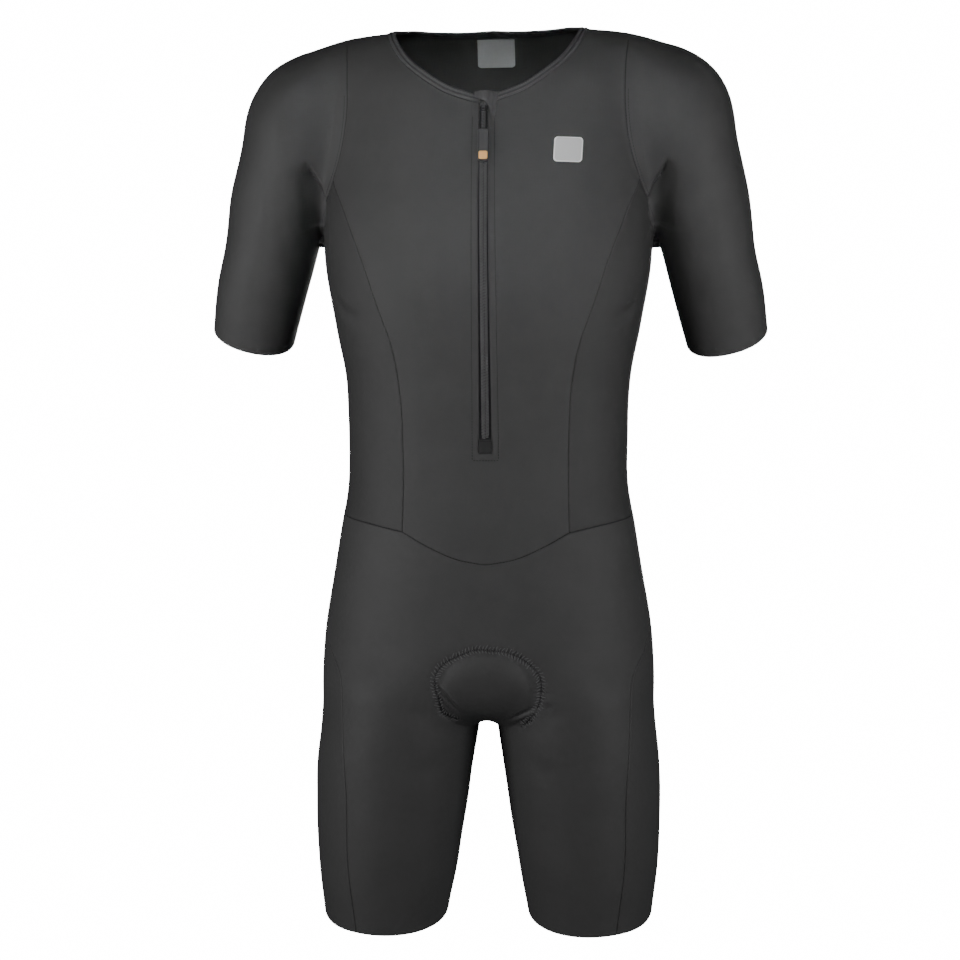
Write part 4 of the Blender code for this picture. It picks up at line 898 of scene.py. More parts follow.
def add_shell(name, grid, cells, flat, distance, lift, finish):
    """A panel's wall: outer face lifted by `lift`, inner face below the folds.

    cells numbers the points of the flattened grid, and flat gives their places in the cloth.
    """
    used, cells = np.unique(cells, return_inverse=True)
    grid, flat, distance, lift = grid[used], flat[used], distance[used], lift[used]
    top = cloth_level(grid) + lift
    distance = np.concatenate([distance, distance + 0.5]) * 1000
    return add_wall(name, grid, cells.reshape(-1, 4), flat, top, CLOTH + lift, distance, finish)


def thin_sheet(name, grid, top, thickness, finish):
    """Closed thin sheet: grid of figure points, with its outer face at height `top`."""
    rows, columns = grid.shape[:2]
    points, flat = grid.reshape(-1, 3), flat_places(grid).reshape(-1, 2)
    top = np.broadcast_to(np.ravel(top), len(points))
    distance = np.full(2 * len(points), NO_SEAM)
    return add_wall(name, points, grid_cells(rows, columns), flat, top, thickness, distance, finish)


print("cloth:", CLOTH, "m thick")

# %% [markdown]
# ## The knit and its tone
# The cloth is a fine matt warp knit: columns of stitches about 0.8 mm apart that catch a little
# light, over a charcoal that is never quite even. One node group gives the stitches as a height,
# one gives the slow change of tone, and one masks the groove of a seam for its painted shade.
# They give out only values, so the export can bake them, and each cloth material sets its own
# sizes.

# %% Shared node groups
def new_group(name, inputs, output):
    """A node group with number sockets: {name: default} as inputs, one output; and its input node."""
    group = bpy.data.node_groups.new(name, "ShaderNodeTree")
    for socket, default in inputs.items():
        made = group.interface.new_socket(name=socket, in_out="INPUT", socket_type="NodeSocketFloat")
        made.default_value = default
    group.interface.new_socket(name=output, in_out="OUTPUT", socket_type="NodeSocketFloat")
    return group, group.nodes.new("NodeGroupInput")


def give_out(group, socket):
    """Link a socket to the group's one output."""
    out = group.nodes.new("NodeGroupOutput")
    group.links.new(socket, out.inputs[0])
    return group


def maths(tree, operation, first, second=0.5, third=0.5):
    """One step of arithmetic between sockets or numbers."""
    settings = {"operation": operation}
    return node(tree, "ShaderNodeMath", settings, i0=first, i1=second, i2=third).outputs[0]


def make_knit_group():
    """Height of a knit: rows of small hills along the wales, each offset by half a stitch."""
    group, given = new_group("knit", {"Wale": 0.0008, "Course": 0.0007}, "Height")
    place = node(group, "ShaderNodeUVMap", {"uv_map": "UVMap"}).outputs[0]
    split = node(group, "ShaderNodeSeparateXYZ", Vector=place)
    wale = maths(group, "DIVIDE", split.outputs[0], given.outputs["Wale"])
    course = maths(group, "DIVIDE", split.outputs[1], given.outputs["Course"])
    column = maths(group, "PINGPONG", wale, 0.5)
    slant = maths(group, "MULTIPLY_ADD", column, 1.2, course)
    stitch = maths(group, "PINGPONG", slant, 0.5)
    height = maths(group, "MULTIPLY_ADD", stitch, 0.8, maths(group, "MULTIPLY", column, 1.2))
    return give_out(group, height)


def make_tone_group():
    """Slow and fine change of tone, from about 0 to 1, by place on the object."""
    group, given = new_group("cloth_tone", {"Size": 0.04}, "Tone")
    place = node(group, "ShaderNodeTexCoord").outputs["Object"]
    wide = maths(group, "DIVIDE", 1.0, given.outputs["Size"])
    slow = node(group, "ShaderNodeTexNoise", Vector=place, Scale=wide, Detail=3.0).outputs[0]
    fine = node(group, "ShaderNodeTexNoise", Vector=place, Scale=900.0, Detail=2.0).outputs[0]
    tone = maths(group, "MULTIPLY_ADD", fine, 0.4, maths(group, "MULTIPLY", slow, 0.6))
    return give_out(group, tone)


def make_seam_shade_group():
    """Mask for the painted shade of a groove: one in it, zero past its width, from the distance in mm.
    """
    group, given = new_group("seam_groove_shade", {"Width": 0.7}, "Mask")
    gap = node(group, "ShaderNodeAttribute", {"attribute_name": "seam_distance"}).outputs["Fac"]
    mask = node(group, "ShaderNodeMapRange", i0=gap, i1=0.15, i2=given.outputs["Width"], i3=1.0, i4=0.0)
    return give_out(group, mask.outputs[0])


knit_group, tone_group, seam_shade_group = make_knit_group(), make_tone_group(), make_seam_shade_group()
print("groups:", knit_group.name, tone_group.name, seam_shade_group.name)

# %% Cloth materials
def use_group(tree, group, **inputs):
    """Place a shared group in a material, with its own values."""
    made = tree.nodes.new("ShaderNodeGroup")
    made.node_tree = group
    for key, value in inputs.items():
        made.inputs[key].default_value = value
    return made.outputs[0]


def plain_material(name, roughness, specular=0.3, metallic=0.0):
    """A material with one shader, whose constants sit on its own sockets."""
    made = bpy.data.materials.new(name)
    made.use_nodes = True
    shader = made.node_tree.nodes["Principled BSDF"]
    shader.inputs["Roughness"].default_value = roughness
    shader.inputs["Specular IOR Level"].default_value = specular
    shader.inputs["Metallic"].default_value = metallic
    return made, made.node_tree, shader


def mixed(tree, share, first, second):
    """The first colour where the share is 0, the second one where it is 1."""
    settings = {"data_type": "RGBA"}
    return node(tree, "ShaderNodeMix", settings, i0=share, i6=first, i7=second).outputs[2]


def toned_colour(tree, colour, swing, tone):
    """A colour made darker and lighter by the tone, by a share `swing` each way."""
    dark, light = (tuple(c * (1 + way * swing) for c in colour) + (1.0,) for way in (-1, 1))
    return mixed(tree, tone, dark, light)


def toned_material(name, colour, swing, size, roughness, specular):
    """A material whose colour drifts by the share `swing`, over the length `size`."""
    made, tree, shader = plain_material(name, roughness, specular)
    tone = use_group(tree, tone_group, Size=size)
    tree.links.new(toned_colour(tree, colour, swing, tone), shader.inputs["Base Color"])
    return made, tree, shader


def add_bump(tree, shader, height, strength, depth):
    """Let a height between 0 and 1 raise the shaded surface by up to `depth`."""
    raised = node(tree, "ShaderNodeBump", Height=height, Strength=strength, Distance=depth)
    tree.links.new(raised.outputs[0], shader.inputs["Normal"])


def cloth_material(name, colour, wale, course, bump, swing=0.16, groove=0.45, roughness=0.58):
    """Smooth knit: tone, painted shade in the seam grooves, and stitches as bump."""
    made, tree, shader = plain_material(name, roughness, 0.34)
    base = toned_colour(tree, colour, swing, use_group(tree, tone_group, Size=0.05))
    # Painted shade: the colour in a seam's groove is darkened to the share `groove` of the knit's
    # colour.
    line = use_group(tree, seam_shade_group, Width=0.75)
    groove_shade_colour = tuple(c * groove for c in colour) + (1.0,)
    tree.links.new(mixed(tree, line, base, groove_shade_colour), shader.inputs["Base Color"])
    height = use_group(tree, knit_group, Wale=wale, Course=course)
    add_bump(tree, shader, height, bump, 0.0004)
    return made


CHARCOAL = (0.052, 0.052, 0.0525)
body_knit = cloth_material("body_knit", CHARCOAL, 0.0008, 0.0007, 0.35)
# Painted shade: the side panels get the body knit at 0.84 of its colour, because they face sideways.
side_knit_painted_shade = cloth_material("side_knit_painted_shade", tuple(0.84 * c for c in CHARCOAL), 0.0008, 0.0007, 0.35)
binding_knit = cloth_material("binding_knit", (0.066, 0.066, 0.068), 0.0009, 0.0008, 0.6)
print("cloth:", body_knit.name, binding_knit.name)

# %% [markdown]
# ## The front
# The front is cut in one piece below the zip and slit above it. Both edges of the slit are
# folded under over a facing about 6 mm wide, so they are rounded, stand a little proud and show
# a row of stitches. The grid has closer lines there.

# %% Front panel
FACING_WIDTH, FACING_RISE = 0.0066, 0.00013
FACING_BOTTOM = 0.0085
FACING_TOP_Z = -0.05
EDGE_ROLL, EDGE_ROLL_WIDTH = 0.0008, 0.0013
STITCH_SINK, STITCH_SINK_WIDTH = 0.00020, 0.0005
HEM_ROLL, HEM_ROLL_WIDTH = 0.0004, 0.0006
ALL_ROUND = {"top": 1, "bottom": 1, "first": 1, "last": 1}


def zip_gap(points):
    """Distance of front points from the slit: sideways above its end, all round below it."""
    sideways = np.maximum(np.abs(points[:, 0]) - zip_half(points[:, 2]), 0)
    below = np.maximum(ZIP_END_Z - points[:, 2], 0) * FACING_WIDTH / FACING_BOTTOM
    return np.hypot(sideways, below)


def facing_height(points):
    """Rolled edge and facing at the slit: down to the fold, flat, and a small step at the stitches."""
    gap = zip_gap(points)
    front = points[:, 1] < 0
    roll = -EDGE_ROLL * np.clip(1 - gap / EDGE_ROLL_WIDTH, 0, 1) ** 2
    band = FACING_RISE * np.clip((FACING_WIDTH + 0.0006 - gap) / 0.0012, 0, 1)
    stitched = -STITCH_SINK * bell(gap - FACING_WIDTH, STITCH_SINK_WIDTH)
    near = (gap < 2 * FACING_WIDTH) & front & (points[:, 2] < FACING_TOP_Z)
    return np.where(near, roll + band + stitched, 0.0)


def sheet_area(piece):
    """Half of a closed shell's surface."""
    return sum(face.area for face in piece.data.polygons) / 2


def stand_for(node_name):
    """Hide the solid that a piece takes the place of."""
    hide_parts(node_name)


def finish_panel(piece, node_name, flat, area=None):
    """Hide the solid that a stretched piece of cloth stands for, and print its faces and area."""
    stand_for(node_name)
    area = area or min(sheet_area(piece), flat[0] * flat[1])
    print(node_name, len(piece.data.polygons), "faces,", round(sheet_area(piece), 4), "m2")


def add_pair(cloth, node_name, grid, cells, flat, distance, lift, finish, size):
    """The wearer's left piece of cloth and its mirror image on the right."""
    for side, points in (("left", grid), ("right", flipped(grid))):
        points = points.reshape(-1, 3)
        piece = add_shell(cloth + side, points, cells, flat, distance, lift, finish)
        finish_panel(piece, node_name + side, size)


def hem_roll(distance):
    """A clean-cut hem, drawn in as a narrow bell of the distance from its edge."""
    return -HEM_ROLL * bell(distance, HEM_ROLL_WIDTH)


def centre_line(heights, last_x):
    """The slit's edge down to the zip's end, and on to the waist at last_x."""
    below = np.clip((ZIP_END_Z - heights) / (ZIP_END_Z - heights[-1]), 0, 1)
    x = zip_half(heights) * (1 - below) + last_x * below
    return on_column(x, heights)


def make_front():
    """Front panel: two halves beside the zip, joined below its end."""
    top = joined(seams["low_front"], seams["shoulder"])
    waist = seams["waist_front"]
    outer = joined(seams["armhole_front"], seams["princess_front"])
    above = np.linspace(top[0, 2], ZIP_END_Z, CENTRE_CELLS_ABOVE_ZIP_END * FINE + 1)
    left = CENTRE_CELLS - CENTRE_CELLS_ABOVE_ZIP_END
    below = np.linspace(ZIP_END_Z, waist[0, 2], left * FINE + 1)
    centre = centre_line(np.concatenate([above, below[1:]]), waist[0, 0])
    centre[0], centre[-1] = top[0], waist[0]
    run = run_length(outer)
    at_end = run * CENTRE_CELLS_ABOVE_ZIP_END / CENTRE_CELLS
    down = places_along(CENTRE_CELLS, run, [(at_end - 0.003, at_end + 0.016, 0.0011)])
    down = down[np.abs(down - CENTRE_CELLS_ABOVE_ZIP_END) > 0.02]
    down = np.sort(np.append(down, CENTRE_CELLS_ABOVE_ZIP_END))
    across = places_along(WAIST_CELLS, run_length(top), [(0.0019, 0.0110, 0.0007)])
    half = fine_surface(top, waist, centre, outer, down, across)
    middle = settle_column(half[:, 0] * np.array([0.0, 1.0, 1.0]))
    middle[-1] = seams["waist_middle"]
    grid = np.concatenate([flipped(half)[:, ::-1], middle[:, None], half], axis=1)
    distance = edge_distance(half, {"top": 1, "bottom": 1, "last": 1})
    distance = np.concatenate([distance[:, ::-1], distance[:, :1], distance], axis=1).ravel()
    rows, width = grid.shape[:2]
    cells = grid_cells(rows, width).reshape(rows - 1, width - 1, 4)
    keep = np.ones((rows - 1, width - 1), dtype=bool)
    columns = len(across) - 1
    keep[:np.searchsorted(down, CENTRE_CELLS_ABOVE_ZIP_END), columns:columns + 2] = False
    points = grid.reshape(-1, 3)
    lift = seam_profile(distance) + facing_height(points)
    flat = flat_places(grid).reshape(-1, 2)
    piece = add_shell("front_cloth", points, cells[keep], flat, distance, lift, body_knit)
    finish_panel(piece, "front_panel", (0.42, 0.56))


make_front()

# %% Back panel
def make_back():
    """Back panel: one piece between the two back princess seams."""
    half_top = joined(seams["low_back"][::-1], seams["shoulder"])
    half_waist = seams["waist_back"][::-1]
    outer = joined(seams["armhole_back"][::-1], seams["princess_back"])
    top = joined(flipped(half_top)[::-1], half_top)
    waist = joined(flipped(half_waist)[::-1], half_waist)
    down = places_along(CENTRE_CELLS, run_length(outer))
    across = places_along(2 * WAIST_CELLS, run_length(top))
    grid = fine_surface(top, waist, flipped(outer), outer, down, across)
    distance = edge_distance(grid, ALL_ROUND).ravel()
    cells, flat = grid_cells(*grid.shape[:2]), flat_places(grid).reshape(-1, 2)
    lift = seam_profile(distance)
    piece = add_shell("back_cloth", grid.reshape(-1, 3), cells, flat, distance, lift, body_knit)
    finish_panel(piece, "back_panel", (0.44, 0.56))


make_back()

# %% [markdown]
# ## Side panels and sleeves
# A side panel runs under the arm from the front princess seam to the back one. The sleeve is set
# in above it: one tube of cloth whose rings fan out from the armhole round the underarm to the
# cuff, which is cut clean, with no hem.

# %% Side panels
def make_sides():
    """Side panels, left and right."""
    waist = joined(seams["waist_front_side"], seams["waist_outer"], seams["waist_back_side"])
    down = places_along(PRINCESS_CELLS, run_length(seams["princess_front"]))
    across = places_along(UNDERARM_CELLS, run_length(waist))
    edges = seams["underarm"], waist, seams["princess_front"], seams["princess_back"]
    grid = fine_surface(*edges, down, across)
    distance = edge_distance(grid, ALL_ROUND).ravel()
    cells, flat = grid_cells(*grid.shape[:2]), flat_places(grid).reshape(-1, 2)
    lift = seam_profile(distance)
    size = (0.22, 0.36)
    # Side panels in the darker copy of the body knit, which is painted shade.
    add_pair("side_cloth_", "side_panel_", grid, cells, flat, distance, lift, side_knit_painted_shade, size)


make_sides()

# %% Sleeves
# Cuff: middle of the ring, and the slope of its plane sideways and with depth
CUFF_CENTRE = (0.2375, 0.0350, -0.2922)
CUFF_SLOPE_X = 0.29
CUFF_SLOPE_Y = 0.40

# Sleeve: lines along its top and its underside, and how its rings crowd at the cap
SLEEVE_TOP = np.array([
    (1370, 170, 30), (1750, 150, -40), (2050, 140, -180), (2260, 150, -450), (2380, 160, -850),
    (2500, 200, -1400), (2620, 280, -2000), (2790, 400, -2800),
]) / TENTHS
SLEEVE_UNDER = np.array([
    (1670, 120, -2070), (1740, 160, -2300), (1840, 220, -2640), (1970, 300, -3060),
]) / TENTHS
SLEEVE_SPACING = 1.15
CUFF_ROUNDS = 6


def cuff_height(points):
    """Height of the cuff's plane above or below points."""
    x, y, z = CUFF_CENTRE
    return z + CUFF_SLOPE_X * (points[:, 0] - x) + CUFF_SLOPE_Y * (points[:, 1] - y)


def reach_surface(start, directions, longest=0.16, steps=40):
    """Points where rays from inside the figure first leave it."""
    lengths = np.linspace(0.0, longest, steps)
    along = start + directions[:, None] * lengths[None, :, None]
    outside = form(along.reshape(-1, 3)).reshape(len(directions), steps) > 0
    first = np.where(outside.any(axis=1), outside.argmax(axis=1), steps - 1)
    low, high = lengths[np.maximum(first - 1, 0)], lengths[first]
    for _ in range(14):
        middle = (low + high) / 2
        out = form(start + directions * middle[:, None]) > 0
        low, high = np.where(out, low, middle), np.where(out, middle, high)
    return start + directions * high[:, None]


def unit(vector):
    """A vector at length one."""
    return vector / np.linalg.norm(vector)


def sampled(rows, shares):
    """Points at shares of the length of a smooth curve through rows."""
    fine = curve_through(rows, 400)
    return points_at(shares * (len(fine) - 1), np.arange(len(fine)), fine)


def sleeve_grid(armhole, steps):
    """Rings of a sleeve at shares `steps` of its length, fanned round the underarm.

    A ring's plane holds one point of the sleeve's top line and one of its under line. Its
    points are where rays from the middle between them leave the arm.
    """
    shares = steps ** SLEEVE_SPACING
    top, under = sampled(SLEEVE_TOP, shares), sampled(SLEEVE_UNDER, shares)
    middle = (top[0] + under[0]) / 2
    across, depth = unit(top[0] - under[0]), unit(np.array([0.0, 1.0, 0.0]))
    offset = armhole - middle
    start_angles = np.unwrap(np.arctan2(offset @ depth, offset @ across))
    turning = np.sign(start_angles[-1] - start_angles[0])
    even = start_angles[0] + turning * np.arange(len(armhole)) * 2 * math.pi / len(armhole)
    rings = [armhole]
    for i in range(1, len(steps)):
        across = unit(top[i] - under[i])
        depth = unit(np.array([0.0, 1.0, CUFF_SLOPE_Y * shares[i]]))
        angles = (1 - steps[i]) * start_angles + steps[i] * even
        directions = np.cos(angles)[:, None] * across + np.sin(angles)[:, None] * depth
        rings.append(reach_surface((top[i] + under[i]) / 2, unit_rows(directions)))
    last = rings[-1]
    for _ in range(CUFF_ROUNDS):
        last[:, 2] = cuff_height(last)
        last = settle(last, 1)
    last[:, 2] = cuff_height(last)
    rings[-1] = last
    return np.stack(rings)


def make_sleeves():
    """Sleeves: one closed tube wall each."""
    ring = joined(seams["armhole_front"], seams["underarm"], seams["armhole_back"])[:-1]
    ring = ring[::2]
    run = run_length(sampled(SLEEVE_TOP, np.linspace(0, 1, 60)))
    steps = places_along(1.0, run, [(0.0019, 0.075, 0.0016)])
    grid = sleeve_grid(ring, steps)
    rows, width = grid.shape[:2]
    closed = np.concatenate([grid, grid[:, :1]], axis=1)
    distance = edge_distance(grid, {"top": 1}).ravel()
    around = np.arange(width + 1) / width * run_length(closed[rows // 2])
    fall = flat_places(grid)[:, 0, 1]
    flat = np.stack(np.broadcast_arrays(around[None, :-1], fall[:, None]), axis=2).reshape(-1, 2)
    cells = grid_cells(rows, width, ring=True)
    lift = seam_profile(distance) + hem_roll(edge_distance(grid, {"bottom": 1}).ravel())
    add_pair("sleeve_cloth_", "sleeve_", grid, cells, flat, distance, lift, body_knit, (0.34, 0.30))


make_sleeves()

# %% [markdown]
# ## The shorts
# The front and the back of the shorts hold both legs in one piece each, joined along the
# inseams. A narrow panel runs down each outer side to the hem, which is cut clean like the
# cuffs. The front bulges over the pad, so its grid is closer there, to hold the puckers of the
# pad's sewing.

# %% Pad ring and its puckers
# Middle of the zigzag round the front of the pad. Columns: x, z in the straight figure
PAD_RING = np.array([
    (-260, -6650), (-420, -6550), (-460, -6400), (-495, -6270), (-486, -6160), (-410, -6050),
    (-250, -5960), (-110, -5905), (90, -5910), (260, -5940), (420, -6035), (530, -6160),
    (545, -6340), (510, -6490), (430, -6620), (340, -6720),
]) / TENTHS
PUCKER_PITCH, PUCKER_REACH, PUCKER_DEPTH = 0.0042, 0.0052, 0.00060
RING_HOLLOW, RING_HOLLOW_WIDTH = 0.0009, 0.0034
# Half width, middle height and half height of the field where puckers are looked for
PUCKER_FIELD = (0.075, -0.635, 0.06)


def ring_curve():
    """The zigzag's middle line on the cloth, from one end below the pad to the other."""
    return settle(curve_through(on_column(*PAD_RING.T), 241))


pad_line = ring_curve()
pad_run = run_along(pad_line)


def pucker_height(points):
    """Hollow along the zigzag, and small ribs square to it that fade within a few millimetres."""
    height = np.zeros(len(points))
    half_width, middle, half_height = PUCKER_FIELD
    near = (points[:, 1] < 0.0) & (np.abs(points[:, 0]) < half_width)
    near &= np.abs(points[:, 2] - middle) < half_height
    spots = points[near]
    gaps = np.linalg.norm(spots[:, None] - pad_line[None, ::2], axis=2)
    nearest, away = gaps.argmin(axis=1), gaps.min(axis=1)
    run = pad_run[::2][nearest]
    uneven = 0.6 + 0.4 * np.sin(run * 190 + 1.3) * np.sin(run * 71)
    ribs = np.cos(2 * math.pi * run / PUCKER_PITCH + 2.0 * np.sin(run * 260))
    height[near] = PUCKER_DEPTH * ribs * uneven * bell(away, PUCKER_REACH)
    height[near] -= RING_HOLLOW * bell(away, RING_HOLLOW_WIDTH)
    return height


print("zigzag", round(float(pad_run[-1]), 3), "m")

# %% Shorts and leg panels
# Gathers beside the pad. Columns: x, z of the upper end, x, z of the lower end, depth, width
GATHERS = np.array([
    (-530, -6200, -270, -6530, 22, 18), (-520, -6300, -320, -6570, 14, 14),
    (-510, -6380, -350, -6600, 14, 14), (-480, -6460, -360, -6640, 12, 14),
    (500, -6480, 240, -6630, 20, 18), (460, -6620, 320, -6720, 9, 15),
    (560, -6460, 660, -6500, 8, 35),
]) / TENTHS
PLEAT_LIP, PLEAT_LIP_AT = 0.6, 1.9

# Closer lines over the pad: start, end and step down the middle line and across from it
PAD_BAND_DOWN, PAD_BAND_ACROSS = (0.085, 0.235, 0.0013), (0.0, 0.062, 0.0013)


def gather_height(points):
    """Short sharp pleats below the pad's sewing, each a trough with a rounded lip beside it."""
    height = np.zeros(len(points))
    front = points[:, 1] < 0.0
    for x1, z1, x2, z2, depth, width in GATHERS:
        start, end = np.array([x1, z1]), np.array([x2, z2])
        along = (end - start) / np.linalg.norm(end - start)
        offset = points[:, [0, 2]] - start
        share = (offset @ along) / np.linalg.norm(end - start)
        aside = offset @ np.array([-along[1], along[0]])
        fade = np.exp(-((2 * share - 1) ** 2) * 1.6) * (np.abs(2 * share - 1) < 2)
        level = PLEAT_LIP * bell(aside - PLEAT_LIP_AT * width, width) - bell(aside, width)
        height += np.where(front, depth * level * fade, 0.0)
    return height


def pad_relief(points):
    """Puckers and gathers round the front of the pad."""
    return pucker_height(points) + gather_height(points)


def make_half_shorts(side, waist, inner, hem, flat, detail=None):
    """Front or back of the shorts: two halves that share the middle line."""
    bands_down, bands_across = ([PAD_BAND_DOWN], [PAD_BAND_ACROSS]) if detail else ((), ())
    down = places_along(LEG_CELLS, run_length(inner), bands_down)
    across = places_along(len(waist) // FINE, run_length(waist), bands_across)
    half = fine_surface(waist, hem, inner, seams["leg_" + side], down, across)
    rows, width = half.shape[:2]
    legs = (down >= RISE_CELLS).astype(float)
    distance = edge_distance(half, {"top": 1, "last": 1, "first": legs})
    hem_gap = edge_distance(half, {"bottom": 1})
    grid = np.concatenate([half.reshape(-1, 3), flipped(half).reshape(-1, 3)])
    flat_half = flat_places(half).reshape(-1, 2)
    flat_all = np.concatenate([flat_half, flat_half * [-1.0, 1.0]])
    mirrored = grid_cells(rows, width, start=rows * width)[:, ::-1]
    cells = np.concatenate([grid_cells(rows, width), mirrored])
    keys = np.round(grid / 1e-6).astype(np.int64)
    _, first, where = np.unique(keys, axis=0, return_index=True, return_inverse=True)
    cells = where.reshape(-1)[cells]
    points = grid[first]
    gap, hem_gap = (np.tile(run.ravel(), 2)[first] for run in (distance, hem_gap))
    lift = seam_profile(gap) + hem_roll(hem_gap)
    if detail:
        lift = lift + detail(points)
    name = "shorts_" + side
    piece = add_shell(name + "_cloth", points, cells, flat_all[first], gap, lift, body_knit)
    finish_panel(piece, name, flat)


def make_shorts():
    """Front, back and outer sides of the shorts."""
    steps = np.linspace(0, 1, FINE + 1)[:, None]
    first_cell = settle(seams["waist_middle"] * (1 - steps) + seams["waist_front"][:1] * steps)
    first_cell[0], first_cell[-1] = seams["waist_middle"][0], seams["waist_front"][0]
    waist = joined(first_cell, seams["waist_front"], seams["waist_front_side"])
    inner = joined(seams["rise_front"], seams["inseam"])
    make_half_shorts("front", waist, inner, seams["hem_front"][::-1], (0.50, 0.46), pad_relief)
    waist = joined(seams["waist_back"][::-1], seams["waist_back_side"][::-1])
    inner = joined(seams["rise_back"], seams["inseam"])
    make_half_shorts("back", waist, inner, seams["hem_back"][::-1], (0.50, 0.50))
    edges = seams["waist_outer"], seams["hem_outer"], seams["leg_front"], seams["leg_back"]
    down = places_along(LEG_CELLS, run_length(seams["leg_front"]))
    across = places_along(WAIST_OUTER_CELLS, run_length(seams["hem_outer"]) * 0.8)
    grid = fine_surface(*edges, down, across)
    distance = edge_distance(grid, {"top": 1, "first": 1, "last": 1}).ravel()
    lift = seam_profile(distance) + hem_roll(edge_distance(grid, {"bottom": 1}).ravel())
    cells, flat = grid_cells(*grid.shape[:2]), flat_places(grid).reshape(-1, 2)
    size = (0.15, 0.43)
    add_pair("leg_cloth_", "leg_side_", grid, cells, flat, distance, lift, body_knit, size)


make_shorts()

# %% [markdown]
# ## Neck binding
# The neck is bound with a folded strip, sewn down by two needles. Each needle pulls the strip in
# along its line and the cloth between stands up, so a section across it has two humps with a
# valley between. That section is carried round the neck from one side of the zip to the other,
# and both ends are closed.

# %% Binding
# Section of the binding. Columns: share of the way from the neck edge down, height mm
BINDING_SECTION = np.array([
    (0.0, -0.6), (0.005, 0.0), (0.03, 0.42), (0.08, 0.72), (0.16, 0.95), (0.24, 1.02), (0.33, 0.92),
    (0.41, 0.66), (0.47, 0.3), (0.5, 0.18), (0.53, 0.3), (0.59, 0.66), (0.67, 0.92), (0.76, 1.02),
    (0.85, 0.92), (0.92, 0.66), (0.97, 0.3), (0.995, -0.1), (1.0, -0.6), (0.99, -1.2), (0.94, -1.6),
    (0.72, -1.75), (0.5, -1.7), (0.28, -1.75), (0.06, -1.6), (0.01, -1.2),
])
BINDING_ROWS = (0.245, 0.755)
# How fast the valley's distance grows for the painted shade along it
VALLEY_SHARE = 1.6


def neck_runs():
    """Upper and lower edge of the binding, from the wearer's left of the zip to the right."""
    upper = joined(seams["neck_front"], seams["neck_back"])
    lower = joined(seams["low_front"], seams["low_back"])
    return joined(upper, flipped(upper)[::-1]), joined(lower, flipped(lower)[::-1])


def on_binding(share, height):
    """Run of points at a share of the binding's width, at a height over the figure."""
    upper, lower = neck_runs()
    base = settle(upper * (1 - share) + lower * share)
    return base + outward(base) * height


def faces_out(points, faces):
    """Turn all faces of a closed mesh when its volume comes out negative."""
    volume = 0.0
    for face in faces:
        corners = points[list(face)]
        volume += np.cross(corners[1:-1], corners[2:]).sum(axis=0) @ corners[0]
    return faces if volume > 0 else [list(face)[::-1] for face in faces]


def tube_faces(rings, around):
    """Faces of a closed tube: its rings, and a flat cap at either end."""
    last = (rings - 1) * around
    caps = [list(range(around))[::-1], [last + i for i in range(around)]]
    return grid_cells(rings, around, ring=True).tolist() + caps


def make_binding():
    """The band as one closed tube of two humps."""
    rings = [on_binding(share, height / 1000) for share, height in BINDING_SECTION]
    grid = np.stack(rings, axis=1)
    count, around = grid.shape[:2]
    width = BINDING_SECTION[:, 0] * BINDING_WIDTH
    run = run_along(grid[:, 5])
    flat = np.stack(np.broadcast_arrays(run[:, None], width[None]), axis=2).reshape(-1, 2)
    valley = np.abs(width - BINDING_WIDTH / 2) * 1000 * VALLEY_SHARE
    points = stance(grid.reshape(-1, 3))
    faces = faces_out(points, tube_faces(count, around))
    uv = flat[np.concatenate(faces)]
    # Painted shade: the valley between the two humps is darkened like a seam groove.
    marks = {"seam_distance": np.tile(valley, count)}
    piece = add_piece("binding_band", points, faces, binding_knit, uv=uv, marks=marks)
    finish_panel(piece, "neck_binding", (0.016, 0.46))


make_binding()

# %% [markdown]
# ## Sewing
# A row of stitches is a short rounded bar of thread, repeated along the seam. Real thread sinks
# at both ends, so each bar is a capsule lying half in the cloth. All bars of one colour are a
# single mesh, built from arrays.

# %% Stitches
CAPSULE_RINGS = ((-1.0, 0.35), (-0.8, 0.85), (0.0, 1.0), (0.8, 0.85), (1.0, 0.35))
CAPSULE_SIDES = 5
THREAD_FLATTEN, BAR_FLATTEN = 0.7, 0.8
# Rows of stitches: pitch, length, width and height over the cloth
GROOVE_STITCH = (0.0030, 0.0022, 0.00045, -0.00045)
ARMHOLE_STITCH = (0.0030, 0.0018, 0.00065, -0.00025)
WAIST_STITCH = (0.0030, 0.0021, 0.00060, -0.00033)
FACING_STITCH = (0.0028, 0.0018, 0.00050, 0.00005)
TWIN_STITCH = (0.0030, 0.0022, 0.00050, 0.00005)
TWIN_BESIDE = 0.0031
BINDING_STITCH = (0.0024, 0.0015, 0.00050, 0.00102)
COIL_EDGE = (0.0029, 0.0022, 0.0008, -0.00055)
COIL_STITCH = (0.0029, 0.0016, 0.0006, 0.00022)
END_PATCH_STITCH = (0.0022, 0.0016, 0.0005, 0.00115)
# Stitches round the facing: where they start, and how round its lower corners are
FACING_STITCH_TOP_Z, FACING_CORNER = -0.072, 0.0025


def capsule():
    """Points and faces of a bar along x, with half length one and radius one."""
    angles = np.arange(CAPSULE_SIDES) / CAPSULE_SIDES * 2 * math.pi
    rings = [np.column_stack([np.full(CAPSULE_SIDES, x), r * np.cos(angles), r * np.sin(angles)])
             for x, r in CAPSULE_RINGS]
    points = np.concatenate(rings)
    cells = grid_cells(len(CAPSULE_RINGS), CAPSULE_SIDES, ring=True)
    last = len(points) - CAPSULE_SIDES
    caps = [list(range(CAPSULE_SIDES)), [last + i for i in range(CAPSULE_SIDES)][::-1]]
    return points, cells.tolist(), caps


